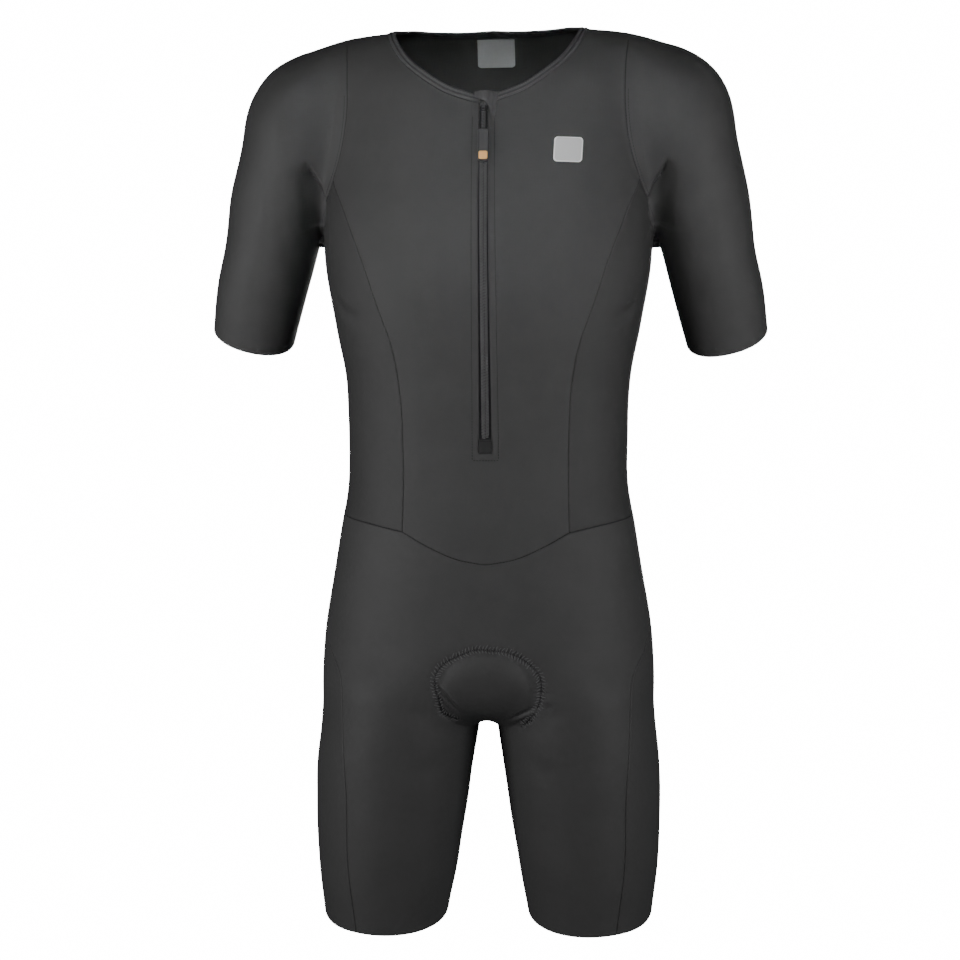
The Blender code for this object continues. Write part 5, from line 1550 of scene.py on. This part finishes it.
def bars(middles, along, normals, half_length, radius, flatten):
    """Points and faces of a bar at each place: along its direction, standing on its normal."""
    points, cells, caps = capsule()
    across = unit_rows(np.cross(normals, along))
    half_length = np.broadcast_to(half_length, len(middles))[:, None, None]
    x, y, z = points.T
    placed = middles[:, None] + along[:, None] * x[None, :, None] * half_length
    placed = placed + across[:, None] * (y * radius)[None, :, None]
    placed = placed + normals[:, None] * (z * radius * flatten)[None, :, None]
    offsets = np.arange(len(middles))[:, None, None] * len(points)
    quads = (np.array(cells)[None] + offsets).reshape(-1, 4).tolist()
    ends = (np.array(caps)[None] + offsets).reshape(-1, CAPSULE_SIDES).tolist()
    return placed.reshape(-1, 3), quads + ends


def along_run(points, pitch):
    """Places every `pitch` along a run of points, with the direction there."""
    run = run_along(points)
    places = np.arange(pitch / 2, run[-1] - pitch / 4, pitch)
    ahead, behind = (points_at(places + part, run, points) for part in (pitch / 4, -pitch / 4))
    return points_at(places, run, points), unit_rows(ahead - behind)


def beside(points, distance):
    """A run moved sideways on the figure."""
    side = unit_rows(np.cross(outward(points), np.gradient(points, axis=0)))
    return settle(points + side * distance, 3)


def merged(parts):
    """Points and faces of several meshes as one."""
    faces, count = [], 0
    for points, own_faces in parts:
        faces += [[i + count for i in face] for face in own_faces]
        count += len(points)
    return np.concatenate([points for points, _ in parts]), faces


def stitch_row(run, pitch, length, width, lift, both_sides=True):
    """A row of stitches on a run of the straight figure, on one or both halves."""
    runs = [run, flipped(run)[::-1]] if both_sides else [run]
    parts = []
    for part in runs:
        middle, along = along_run(part, pitch)
        normals = outward(middle)
        middle = middle + normals * (cloth_level(middle) + lift)[:, None]
        made, faces = bars(middle, along, normals, length / 2, width / 2, THREAD_FLATTEN)
        parts.append((stance(made), faces))
    return merged(parts)


def add_threads(name, rows, finish):
    """One mesh from many rows of stitches."""
    points, faces = merged(rows)
    piece = add_piece(name, points, faces, finish, sharp=180)
    print(name, len(faces), "faces")
    return piece


def thread_material(name, colour, roughness):
    """Spun thread: matt with a weak gloss."""
    return toned_material(name, colour, 0.2, 0.01, roughness, 0.25)[0]


dark_thread = thread_material("dark_thread", (0.012, 0.012, 0.013), 0.75)
grey_thread = thread_material("grey_thread", (0.115, 0.115, 0.118), 0.6)
pale_thread = thread_material("pale_thread", (0.105, 0.105, 0.107), 0.6)


def facing_run(gap):
    """U of points at a distance from the slit, from the neck down one side and up the other."""
    heights = np.linspace(FACING_STITCH_TOP_Z, ZIP_END_Z, 240)
    side = np.column_stack([zip_half(heights) + gap, heights])
    corner = np.linspace(0, math.pi / 2, 16)[1:-1]
    x = side[-1, 0] - FACING_CORNER
    low = ZIP_END_Z - gap * FACING_BOTTOM / FACING_WIDTH
    z = low + FACING_CORNER
    turn = np.column_stack([x + FACING_CORNER * np.cos(corner), z - FACING_CORNER * np.sin(corner)])
    bottom = np.column_stack([np.linspace(x, 0, 16), np.full(16, low)])
    half = np.concatenate([side, [[side[-1, 0], z]], turn, bottom])
    both = np.concatenate([half, (half * [-1, 1])[::-1][1:]])
    return on_column(*both.T)


def sew_seams():
    """Dark stitches in the grooves, beside the armholes, round the facing and at the waist."""
    armhole = joined(seams["armhole_front"], seams["underarm"], seams["armhole_back"])
    waist = joined(seams["waist_front"], seams["waist_front_side"], seams["waist_outer"],
                   seams["waist_back_side"], seams["waist_back"])
    fine = [stitch_row(armhole, *ARMHOLE_STITCH), stitch_row(waist, *WAIST_STITCH)]
    for name in ("princess_front", "princess_back", "leg_front", "leg_back", "inseam", "shoulder"):
        fine.append(stitch_row(seams[name], *GROOVE_STITCH))
    fine.append(stitch_row(facing_run(FACING_WIDTH), *FACING_STITCH, both_sides=False))
    low = ARMHOLE_CELLS * FINE // 2
    twin = beside(armhole, TWIN_BESIDE)[low:-low]
    fine.append(stitch_row(twin, *TWIN_STITCH))
    add_threads("seam_stitches", fine, dark_thread)
    upper, lower = neck_runs()
    runs = [settle(upper * (1 - share) + lower * share)[2:-2] for share in BINDING_ROWS]
    rows = [stitch_row(run, *BINDING_STITCH, both_sides=False) for run in runs]
    add_threads("binding_stitches", rows, grey_thread)


sew_seams()

# %% Pad zigzag
# Zigzag: pitch, half length and its change, lean, radius, height over the cloth
ZIGZAG_PITCH, ZIGZAG_HALF, ZIGZAG_CHANGE = 0.0021, 0.00135, 0.00025
ZIGZAG_LEAN, ZIGZAG_RADIUS, ZIGZAG_LIFT = 0.42, 0.00030, 0.00008
# Cover threads on both sides of it: the same, and their distance from its line
COVER_PITCH, COVER_HALF, COVER_CHANGE = 0.0033, 0.0022, 0.0007
COVER_LEAN, COVER_LEAN_CHANGE, COVER_RADIUS, COVER_LIFT = 0.45, 0.35, 0.00062, 0.00010
COVER_BESIDE, COVER_BESIDE_CHANGE = 0.0026, 0.0004


def lying_bars(middle, direction, half, radius, lift):
    """Bars of thread on the puckered cloth, along unit directions."""
    normals = outward(middle)
    level = cloth_level(middle) + pucker_height(middle) + lift
    middle = middle + normals * level[:, None]
    points, faces = bars(middle, unit_rows(direction), normals, half, radius, BAR_FLATTEN)
    return stance(points), faces


def sew_pad():
    """Zigzag round the front of the pad, and two rows of pale cover threads beside it."""
    middle, along = along_run(pad_line, ZIGZAG_PITCH)
    number = np.arange(len(middle))
    slant = np.where(number % 2 == 0, 1.0, -1.0)[:, None]
    direction = np.cross(outward(middle), along) + ZIGZAG_LEAN * slant * along
    half = ZIGZAG_HALF + ZIGZAG_CHANGE * np.sin(number * 2.3) * np.sin(number * 0.7)
    zigzag = lying_bars(middle, direction, half, ZIGZAG_RADIUS, ZIGZAG_LIFT)
    add_threads("pad_zigzag", [zigzag], dark_thread)
    rows = []
    for way in (-1.0, 1.0):
        middle, along = along_run(pad_line, COVER_PITCH)
        side = np.cross(outward(middle), along)
        number = np.arange(len(middle))
        uneven = np.sin(number * 2.9 + way) * np.sin(number * 0.9)
        half = COVER_HALF + COVER_CHANGE * uneven
        middle = settle(middle + way * (COVER_BESIDE + COVER_BESIDE_CHANGE * uneven)[:, None] * side)
        lean = COVER_LEAN + COVER_LEAN_CHANGE * np.sin(number * 1.7)
        direction = side + way * lean[:, None] * along
        rows.append(lying_bars(middle, direction, half, COVER_RADIUS, COVER_LIFT))
    add_threads("pad_cover_threads", rows, pale_thread)


sew_pad()

# %% [markdown]
# ## The zip
# A narrow nylon zip: woven tape, and on it a coil whose turns from each side lock in the middle.
# The turns are bars across, offset by half a pitch from side to side, on a low rounded rib. The
# tape is sewn behind the slit. Its lower end is covered by a small square of cloth, and at the
# top the binding is folded over the slider as a hood.

# %% Zip materials
def woven_material(name, colour, across, down, roughness, specular, bump):
    """Fine plain weave along a piece's own flat place."""
    made, tree, shader = toned_material(name, colour, 0.12, 0.02, roughness, specular)
    height = use_group(tree, knit_group, Wale=across, Course=down)
    add_bump(tree, shader, height, bump, 0.0003)
    return made


zip_tape = woven_material("zip_tape", (0.026, 0.026, 0.028), 0.0007, 0.0009, 0.8, 0.2, 0.5)
zip_coil = thread_material("zip_coil", (0.125, 0.125, 0.128), 0.5)
patch_weave = woven_material("patch_weave", (0.024, 0.024, 0.025), 0.0006, 0.0006, 0.6, 0.3, 0.4)
label_satin = woven_material("label_satin", (0.410, 0.430, 0.435), 0.0012, 0.00045, 0.5, 0.35, 0.4)
print("finishes:", zip_tape.name, zip_coil.name, patch_weave.name, label_satin.name)

# %% Tape, coil and end patch
# Zip and what lies on the panels
TAPE_HALF = 0.0115
TAPE_THICKNESS = 0.0007
TAPE_CLEAR = 0.0005
TAPE_TOP_Z = -0.0618
TAPE_END_Z = -0.4060
CHAIN_TOP_Z = -0.0660
CHAIN_END_Z = -0.3835
END_PATCH_HALF = 0.0070
END_PATCH_TOP_Z = -0.3845
END_PATCH_BOTTOM_Z = -0.3985
ON_PANEL_CLEAR = 0.0003
END_PATCH_THICKNESS = 0.0009
COIL_PITCH = 0.00145
# Turns of the coil: distance from the middle, half length, radius, lean, sink, and their edges
TURN_X, TURN_HALF, TURN_RADIUS, TURN_LEAN = 0.00155, 0.00175, 0.00062, 0.22
TURN_SINK, TURN_FLATTEN, TURN_EDGE_SHARE = 0.00045, 0.9, 2.1
COIL_STITCH_X = 0.0004
# End patch: how far its cloth stays inside its solid, its crown and its stitches' insets
END_PATCH_INSET, END_PATCH_CROWN = 0.0008, 0.0004
END_STITCH_INSET_X, END_STITCH_INSET_Z = 0.0014, 0.0013
WALL = 0.0012


def strip(half_width, top_z, bottom_z, rows, columns):
    """Grid of points on the front of the figure, beside the middle line."""
    heights = np.linspace(top_z, bottom_z, rows + 1)
    return on_column(np.linspace(-half_width, half_width, columns + 1)[None], heights[:, None])


def coil_side(side, heights):
    """Turns of the coil on one side, and the rib along their outer ends."""
    x = np.full(len(heights), side * TURN_X)
    shift = 0.0 if side > 0 else COIL_PITCH / 2
    middle = on_column(x, heights - shift)
    normals = outward(middle)
    middle = middle + normals * (cloth_level(middle) - TURN_SINK)[:, None]
    along = np.tile([1.0, 0.0, side * TURN_LEAN], (len(x), 1))
    along = unit_rows(along - normals * (along * normals).sum(axis=1, keepdims=True))
    points, faces = bars(middle, along, normals, TURN_HALF, TURN_RADIUS, TURN_FLATTEN)
    edge = on_column(x * TURN_EDGE_SHARE, heights)
    return [(stance(points), faces), stitch_row(edge, *COIL_EDGE, both_sides=False)]


def make_end_patch():
    """The square of cloth over the zip's end, with a rounded edge and two rows of stitches."""
    patch = strip(END_PATCH_HALF - END_PATCH_INSET, END_PATCH_TOP_Z, END_PATCH_BOTTOM_Z, 16, 14)
    u = np.abs(np.linspace(-1, 1, 15))[None, :]
    v = np.abs(np.linspace(-1, 1, 17))[:, None]
    crown = END_PATCH_CROWN * (1 - np.maximum(u, v) ** 6).ravel()
    level = cloth_level(patch.reshape(-1, 3)) + ON_PANEL_CLEAR + END_PATCH_THICKNESS * 0.6 + crown
    piece = thin_sheet("end_patch_cloth", patch, level, END_PATCH_THICKNESS * 0.8, patch_weave)
    finish_panel(piece, "zip_end_patch", (0.013, 0.014))
    reach = END_PATCH_HALF - END_STITCH_INSET_X
    heights = (END_PATCH_TOP_Z - END_STITCH_INSET_Z, END_PATCH_BOTTOM_Z + END_STITCH_INSET_Z)
    runs = [on_column(np.linspace(-reach, reach, 12), z) for z in heights]
    rows = [stitch_row(run, *END_PATCH_STITCH, both_sides=False) for run in runs]
    add_threads("end_patch_stitches", rows, dark_thread)


def make_zip():
    """Tape, locked coil, its sewing and the patch over its end."""
    tape = strip(TAPE_HALF, TAPE_TOP_Z, TAPE_END_Z, 150, 12)
    level = cloth_level(tape.reshape(-1, 3)) - WALL - TAPE_CLEAR
    piece = thin_sheet("woven_tape", tape, level, TAPE_THICKNESS, zip_tape)
    finish_panel(piece, "zip_tape", (0.023, 0.3445))
    heights = np.arange(CHAIN_TOP_Z, CHAIN_END_Z, -COIL_PITCH)
    coil = add_threads("coil_turns", coil_side(1, heights) + coil_side(-1, heights), zip_coil)
    stand_for("zip_chain")
    middle = on_column(0.0, np.linspace(CHAIN_TOP_Z, CHAIN_END_Z, 201))
    run = middle + np.array([COIL_STITCH_X, 0, 0])
    add_threads("coil_sewing", [stitch_row(run, *COIL_STITCH, both_sides=False)], dark_thread)
    make_end_patch()


make_zip()

# %% Hood over the slider
# Edges of the hood. Columns: x and z of the upper edge, x and z of the lower edge, height
HOOD_ROWS = np.array([
    (-90, -500, -88, -540, 19), (-60, -498, -50, -565, 36), (-20, -496, -10, -585, 56),
    (20, -496, 22, -600, 62), (55, -498, 48, -640, 52), (85, -500, 68, -710, 32),
    (115, -500, 90, -760, 16), (140, -500, 105, -765, 11),
]) / TENTHS
HOOD_THICKNESS, HOOD_ARCH, HOOD_TUCK = 0.0010, 0.08, 0.0006
HOOD_WAVE, HOOD_WAVES = 0.0002, 9


def make_hood():
    """The binding's end folded over the slider: arched across, thin, with a rounded lower edge."""
    share = np.linspace(0, 1, 33)
    table = np.column_stack([np.linspace(0, 1, len(HOOD_ROWS)), HOOD_ROWS])
    x1, z1, x2, z2, height = rows_at(table, share)
    down = np.linspace(0, 1, 17)[:, None]
    x, z = x1 * (1 - down) + x2 * down, z1 * (1 - down) + z2 * down
    grid = on_column(x, z)
    arched = height * (1 - HOOD_ARCH + HOOD_ARCH * np.sin(math.pi * down))
    waved = arched + HOOD_WAVE * np.sin(HOOD_WAVES * math.pi * share)
    piece = thin_sheet("hood_fold", grid, waved - HOOD_TUCK * down**8, HOOD_THICKNESS, binding_knit)
    finish_panel(piece, "zip_garage", (0.024, 0.018))


make_hood()

# %% [markdown]
# ## Slider and pull
# The slider is a small die casting, painted black and rubbed bright at its edges. A doubled cord
# runs through it and holds a rubber tab with a plain coloured inset. The solids of the pull are
# right in shape. The cord is made again as one braided loop, and the tab with a rounded rim and
# a sunk field for the inset.

# %% Slider, cord, tab and inset
# Slider and pull. Heights are above the outer face of the cloth.
SLIDER_Z = -0.0640
SLIDER_BASE = 0.0011
SLIDER_THICKNESS = 0.0016
CORD_DIAMETER = 0.0017
CORD_CLEAR = 0.0003
CORD_HALF_SPREAD = 0.0027
CORD_BEND = 0.0016
CORD_LENGTH = 0.0225
TAB_WIDTH = 0.0112
TAB_LENGTH = 0.0330
TAB_CORNER_TOP = 0.0015
TAB_CORNER_BOTTOM = 0.0046
INSET_SIZE = (0.0084, 0.0080)
INSET_CORNER = 0.0016
INSET_FROM_END = 0.0022
LEAST_CORNER = 0.0003
# Sections of the tab and of the inset. Columns: inset from the edge, height over the tab's middle
TAB_RINGS = (
    (0.0006, -0.0015), (0.0002, -0.0013), (0.0, -0.0009), (0.0, 0.0008), (0.0002, 0.0012),
    (0.0006, 0.0014), (0.001, 0.0015), (0.0013, 0.0014), (0.0016, 0.0011), (0.002, 0.001),
)
SOLIDS_OF_PULL = {
    "cord_loop": "zip_pull_cord", "rubber_tab": "zip_pull_tab", "colour_inset": "zip_pull_inset",
}
INSET_RINGS = ((0.0, 0.00105), (0.0, 0.00165), (0.00012, 0.00183), (0.0004, 0.00189))


def zip_frame():
    """Matrix at the slider: x sideways, y up the zip, z out of the cloth."""
    place = on_column(0.0, np.array([SLIDER_Z]))
    normal = Vector(outward(place)[0])
    normal.x = 0.0
    normal.normalize()
    side = Vector((1.0, 0.0, 0.0))
    up = normal.cross(side)
    matrix = Matrix((side, up, normal)).transposed().to_4x4()
    matrix.translation = Vector(stance(place)[0])
    return matrix


def pivot_height():
    """Height of the pull's axis above the cloth, at the cord's middle."""
    return SLIDER_BASE + SLIDER_THICKNESS + CORD_CLEAR + CORD_DIAMETER / 2


def placed(points, matrix):
    """Points moved by a matrix."""
    table = np.array(matrix)
    return points @ table[:3, :3].T + table[:3, 3]


def slider_material():
    """Black paint over metal, worn bright here and there."""
    made, tree, shader = plain_material("slider_metal", 0.28, 0.5, 0.85)
    place = node(tree, "ShaderNodeTexCoord").outputs["Object"]
    worn = node(tree, "ShaderNodeTexNoise", Vector=place, Scale=700.0, Detail=2.0).outputs[0]
    tree.links.new(toned_colour(tree, (0.055, 0.055, 0.057), 0.6, worn), shader.inputs["Base Color"])
    rough = node(tree, "ShaderNodeMapRange", i0=worn, i3=0.22, i4=0.42).outputs[0]
    tree.links.new(rough, shader.inputs["Roughness"])
    return made


def rubber_material():
    """Moulded rubber: dark, fine-grained, slightly shiny."""
    made, tree, shader = toned_material("pull_rubber", (0.042, 0.042, 0.044), 0.15, 0.006, 0.5, 0.4)
    place = node(tree, "ShaderNodeTexCoord").outputs["Object"]
    grain = node(tree, "ShaderNodeTexNoise", Vector=place, Scale=4000.0, Detail=1.0).outputs[0]
    add_bump(tree, shader, grain, 0.15, 0.0002)
    return made


def cord_material():
    """Braided cord: strands slant as waves on its own flat place, painted lighter on their crowns."""
    made, tree, shader = plain_material("pull_cord", 0.65, 0.3)
    height = use_group(tree, knit_group, Wale=0.0009, Course=0.0011)
    # Colour follows the strands' height: painted highlight on their crowns, painted shade in the
    # hollows.
    tree.links.new(toned_colour(tree, (0.009, 0.009, 0.010), 0.3, height), shader.inputs["Base Color"])
    add_bump(tree, shader, height, 0.8, 0.0003)
    return made


slider_metal, pull_rubber, pull_cord = slider_material(), rubber_material(), cord_material()
pull_inset = toned_material("pull_inset", (0.93, 0.50, 0.17), 0.06, 0.008, 0.4, 0.45)[0]
slider = bpy.data.objects["zip_slider"]
slider.data.materials.clear()
slider.data.materials.append(slider_metal)


def tube(path, radius, sides=10):
    """Points, faces and flat places of a round tube with closed ends along a path in a plane."""
    up = np.array([0.0, 0.0, 1.0])
    side = np.cross(unit_rows(np.gradient(path, axis=0)), up)
    angles = np.arange(sides) / sides * 2 * math.pi
    ring = np.cos(angles)[None, :, None] * side[:, None] + np.sin(angles)[None, :, None] * up
    points = (path[:, None] + ring * radius).reshape(-1, 3)
    run = run_along(path)
    flat = np.stack(np.broadcast_arrays(angles[None] * radius, run[:, None]), axis=2).reshape(-1, 2)
    return points, tube_faces(len(path), sides), flat


def loop_path():
    """The cord's middle line: up one side, round under the bridge and down the other."""
    low = np.linspace(-CORD_LENGTH, -CORD_BEND, 24)
    angles = np.linspace(math.pi, 0, 18)[1:-1]
    straight = np.full(len(low), CORD_HALF_SPREAD)
    x = np.concatenate([-straight, CORD_HALF_SPREAD * np.cos(angles), straight])
    y = np.concatenate([low, CORD_BEND * (np.sin(angles) - 1), low[::-1]])
    return np.column_stack([x, y, np.zeros(len(x))])


def plate_rings(width, length, corners, top_y, rings, steps=8):
    """Rings of a rounded plate, from its underside edge round the rim to its face.

    rings gives (inset from the edge, height) for each ring. The plate hangs down from top_y.
    """
    points = []
    for inset, height in rings:
        half, high, low = width / 2 - inset, top_y - inset, top_y - length + inset
        outline = []
        for quarter in range(4):
            radius = max(corners[0 if quarter < 2 else 1] - inset, LEAST_CORNER)
            middle_x = (half - radius) * (1 if quarter in (0, 3) else -1)
            middle_y = high - radius if quarter < 2 else low + radius
            angles = math.pi / 2 * (quarter + np.linspace(0, 1, steps))
            x, y = middle_x + radius * np.cos(angles), middle_y + radius * np.sin(angles)
            outline.append(np.column_stack([x, y]))
        outline = np.concatenate(outline)
        points.append(np.column_stack([outline, np.full(len(outline), height)]))
    faces = tube_faces(len(rings), len(points[0]))
    points = np.concatenate(points)
    return points, faces_out(points, faces)


def add_swinging(name, slot, points, faces, finish, uv=None, sharp=60):
    """A piece of the pull, placed at the slider on the swinging body, for its own solid."""
    pivot = zip_frame() @ Matrix.Translation((0.0, 0.0, pivot_height()))
    piece = add_piece(name, placed(points, pivot), faces, finish, "zip_pull", uv=uv, sharp=sharp)
    stand_for(SOLIDS_OF_PULL[name])
    print(name, len(faces), "faces")


def make_pull():
    """Cord loop, tab and inset, all on the swinging body."""
    points, faces, flat = tube(loop_path(), CORD_DIAMETER / 2)
    faces = faces_out(points, faces)
    add_swinging("cord_loop", "pull_cord", points, faces, pull_cord, flat[np.concatenate(faces)], 180)
    top_y = -CORD_LENGTH - CORD_CLEAR
    corners = (TAB_CORNER_TOP, TAB_CORNER_BOTTOM)
    tab = plate_rings(TAB_WIDTH, TAB_LENGTH, corners, top_y, TAB_RINGS)
    add_swinging("rubber_tab", "pull_rubber", *tab, pull_rubber)
    width, length = INSET_SIZE
    inset_top = top_y - TAB_LENGTH + INSET_FROM_END + length
    inset = plate_rings(width, length, (INSET_CORNER, INSET_CORNER), inset_top, INSET_RINGS)
    add_swinging("colour_inset", "pull_inset", *inset, pull_inset)


make_pull()

# %% [markdown]
# ## Label, chest patch and pad
# The label is a plain satin strip sewn inside the back of the neck. The patch on the chest is a
# retroreflective film with a bright rim, heat-bonded, so it follows the cloth. Both are left
# bare. The seat pad is foam between two knits, crowned in the middle and thin at its edge.

# %% Label
LABEL_HALF_WIDTH = 0.0190
LABEL_CENTRE_X = 0.0030
LABEL_TOP_Z = 0.0040
LABEL_BOTTOM_Z = -0.0245
LABEL_THICKNESS = 0.0005
LABEL_CLEAR = 0.0010
LABEL_CORNER = 0.003


def make_label():
    """Thin sheet with round lower corners, just inside the back of the neck."""
    v = np.linspace(0, 1, 25)[:, None]
    height = LABEL_TOP_Z + (LABEL_BOTTOM_Z - LABEL_TOP_Z) * v
    over = np.clip((LABEL_BOTTOM_Z + LABEL_CORNER - height) / LABEL_CORNER, 0, 1)
    half = LABEL_HALF_WIDTH - LABEL_CORNER * (1 - np.sqrt(1 - over**2))
    u = np.linspace(-1, 1, 25)[None, :]
    grid = on_column(LABEL_CENTRE_X + u * half, height, BACK_START_Y)
    level = cloth_level(grid.reshape(-1, 3)) - WALL - LABEL_CLEAR
    piece = thin_sheet("satin_label", grid, level, LABEL_THICKNESS, label_satin)
    finish_panel(piece, "neck_label", (0.038, 0.0305))


make_label()

# %% Chest patch
PATCH_CENTRE = (0.0810, -0.1055)
PATCH_SIZE = (0.0275, 0.0235)
PATCH_CORNER = 0.0035
PATCH_TILT_DEG = -3.0
PATCH_THICKNESS = 0.0004
PATCH_EDGE_FALL = 0.00015
# Rings of the patch as shares of its outline, and the share outside which its rim is white
PATCH_SHARES = np.array([1.0, 0.985, 0.92, 0.905, 0.75, 0.55, 0.35, 0.15])
PATCH_RIM_SHARE = 0.91


def patch_material():
    """Retroreflective film: light grey field of fine beads and a whiter rim."""
    made, tree, shader = plain_material("patch_film", 0.42, 0.4)
    rim = node(tree, "ShaderNodeAttribute", {"attribute_name": "rim"}).outputs["Fac"]
    place = node(tree, "ShaderNodeTexCoord").outputs["Object"]
    beads = node(tree, "ShaderNodeTexNoise", Vector=place, Scale=2500.0, Detail=1.0).outputs[0]
    field = toned_colour(tree, (0.60, 0.60, 0.605), 0.08, beads)
    white = (0.88, 0.88, 0.88, 1.0)
    tree.links.new(mixed(tree, rim, field, white), shader.inputs["Base Color"])
    return made


def make_patch():
    """Rounded rectangle in rings, so its rim and corners stay clean, bonded to the cloth."""
    half = np.array(PATCH_SIZE) / 2
    angles = np.concatenate([math.pi / 2 * (q + np.linspace(0, 1, 9)) for q in range(4)])
    signs = np.repeat([(1, 1), (-1, 1), (-1, -1), (1, -1)], 9, axis=0)
    round_corner = PATCH_CORNER * np.column_stack([np.cos(angles), np.sin(angles)])
    outline = (half - PATCH_CORNER) * signs + round_corner
    u, v = (outline[None] * PATCH_SHARES[:, None, None]).reshape(-1, 2).T
    cos, sin = math.cos(math.radians(PATCH_TILT_DEG)), math.sin(math.radians(PATCH_TILT_DEG))
    points = on_column(PATCH_CENTRE[0] + cos * u - sin * v, PATCH_CENTRE[1] + sin * u + cos * v)
    normals = outward(points)
    edge = np.repeat(np.where(PATCH_SHARES == 1.0, -PATCH_EDGE_FALL, 0.0), len(outline))
    level = cloth_level(points) + ON_PANEL_CLEAR + PATCH_THICKNESS
    upper = stance(points + normals * (level + edge)[:, None])
    lower = stance(points + normals * (level - PATCH_THICKNESS)[:, None])
    both = np.concatenate([upper, lower])
    count, total = len(outline), len(points)
    top = grid_cells(len(PATCH_SHARES), count, ring=True)
    first = np.arange(count)
    following = np.roll(first, -1)
    rim = np.stack([following, first, first + total, following + total], axis=1)
    centre = list(range(total - count, total))
    under = (top[:, ::-1] + total).tolist() + [[i + total for i in centre[::-1]]]
    faces = faces_out(both, top.tolist() + [centre] + under + rim.tolist())
    white = (PATCH_SHARES > PATCH_RIM_SHARE).astype(float)
    marks = {"rim": np.tile(np.repeat(white, count), 2)}
    piece = add_piece("reflective_patch", both, faces, patch_material(), marks=marks)
    area = PATCH_SIZE[0] * PATCH_SIZE[1] * 0.97
    finish_panel(piece, "chest_patch", PATCH_SIZE, area=area)


make_patch()

# %% Seat pad
# Seat pad: distance along the middle line, half width. It starts at PAD_FRONT_Z.
PAD_OUTLINE = np.array([
    (0, 120), (120, 320), (300, 450), (550, 510), (800, 460), (1050, 320), (1350, 250), (1650, 280),
    (2000, 500), (2400, 720), (2750, 660), (3000, 420), (3100, 180),
]) / TENTHS
PAD_FRONT_Z = -0.590
PAD_THICKNESS = 0.0050
PAD_CLEAR = 0.0044
# Thickness at the edge, length over which the ends thin, and the channel beside the middle line
PAD_EDGE, PAD_END_FADE = 0.0012, 0.02
CHANNEL_DEPTH, CHANNEL_AT, CHANNEL_WIDTH = 0.0012, 0.006, 0.0018
WALK_STEPS = 12


def walk_sideways(centre, distances):
    """Points reached from a middle line by walking sideways on the figure."""
    points = settle(centre)
    forward = unit_rows(np.gradient(centre, axis=0))
    for _ in range(WALK_STEPS):
        side = np.cross(outward(points), forward)
        side = unit_rows(side * np.where(side[:, :1] < 0, -1.0, 1.0))
        points = settle(points + side * (distances / WALK_STEPS)[:, None], 3)
    return points


def make_pad():
    """Crowned pad sewn inside the crotch, thin at its edge."""
    middle = joined(seams["rise_front"], seams["rise_back"][::-1])
    run = run_along(middle)
    start = run[np.argmax(middle[:, 2] < PAD_FRONT_Z)]
    along = np.linspace(0, PAD_OUTLINE[-1, 0], 61)
    centre = points_at(start + along, run, middle)
    half = rows_at(PAD_OUTLINE, along)[0]
    across = np.linspace(-1, 1, 27)
    grid = np.stack([walk_sideways(centre, half * share) for share in across], axis=1)
    edge = 4 * (1 - np.abs(across))[None]
    ends = np.minimum(along, along[-1] - along)[:, None] / PAD_END_FADE
    crown = np.clip(np.minimum(edge, ends), 0, 1)
    crown = crown * (2 - crown)
    aside = np.abs(across)[None] * half[:, None]
    channel = CHANNEL_DEPTH * bell(aside - CHANNEL_AT, CHANNEL_WIDTH)
    depth = (PAD_EDGE + (PAD_THICKNESS - PAD_EDGE - channel) * crown).ravel()
    pad_knit = cloth_material("pad_foam", (0.035, 0.035, 0.036), 0.0010, 0.0010, 0.5)
    piece = thin_sheet("crowned_pad", grid, np.full(len(depth), -WALL - PAD_CLEAR), depth, pad_knit)
    stand_for("seat_pad")
    print("pad", len(piece.data.polygons), "faces")


make_pad()
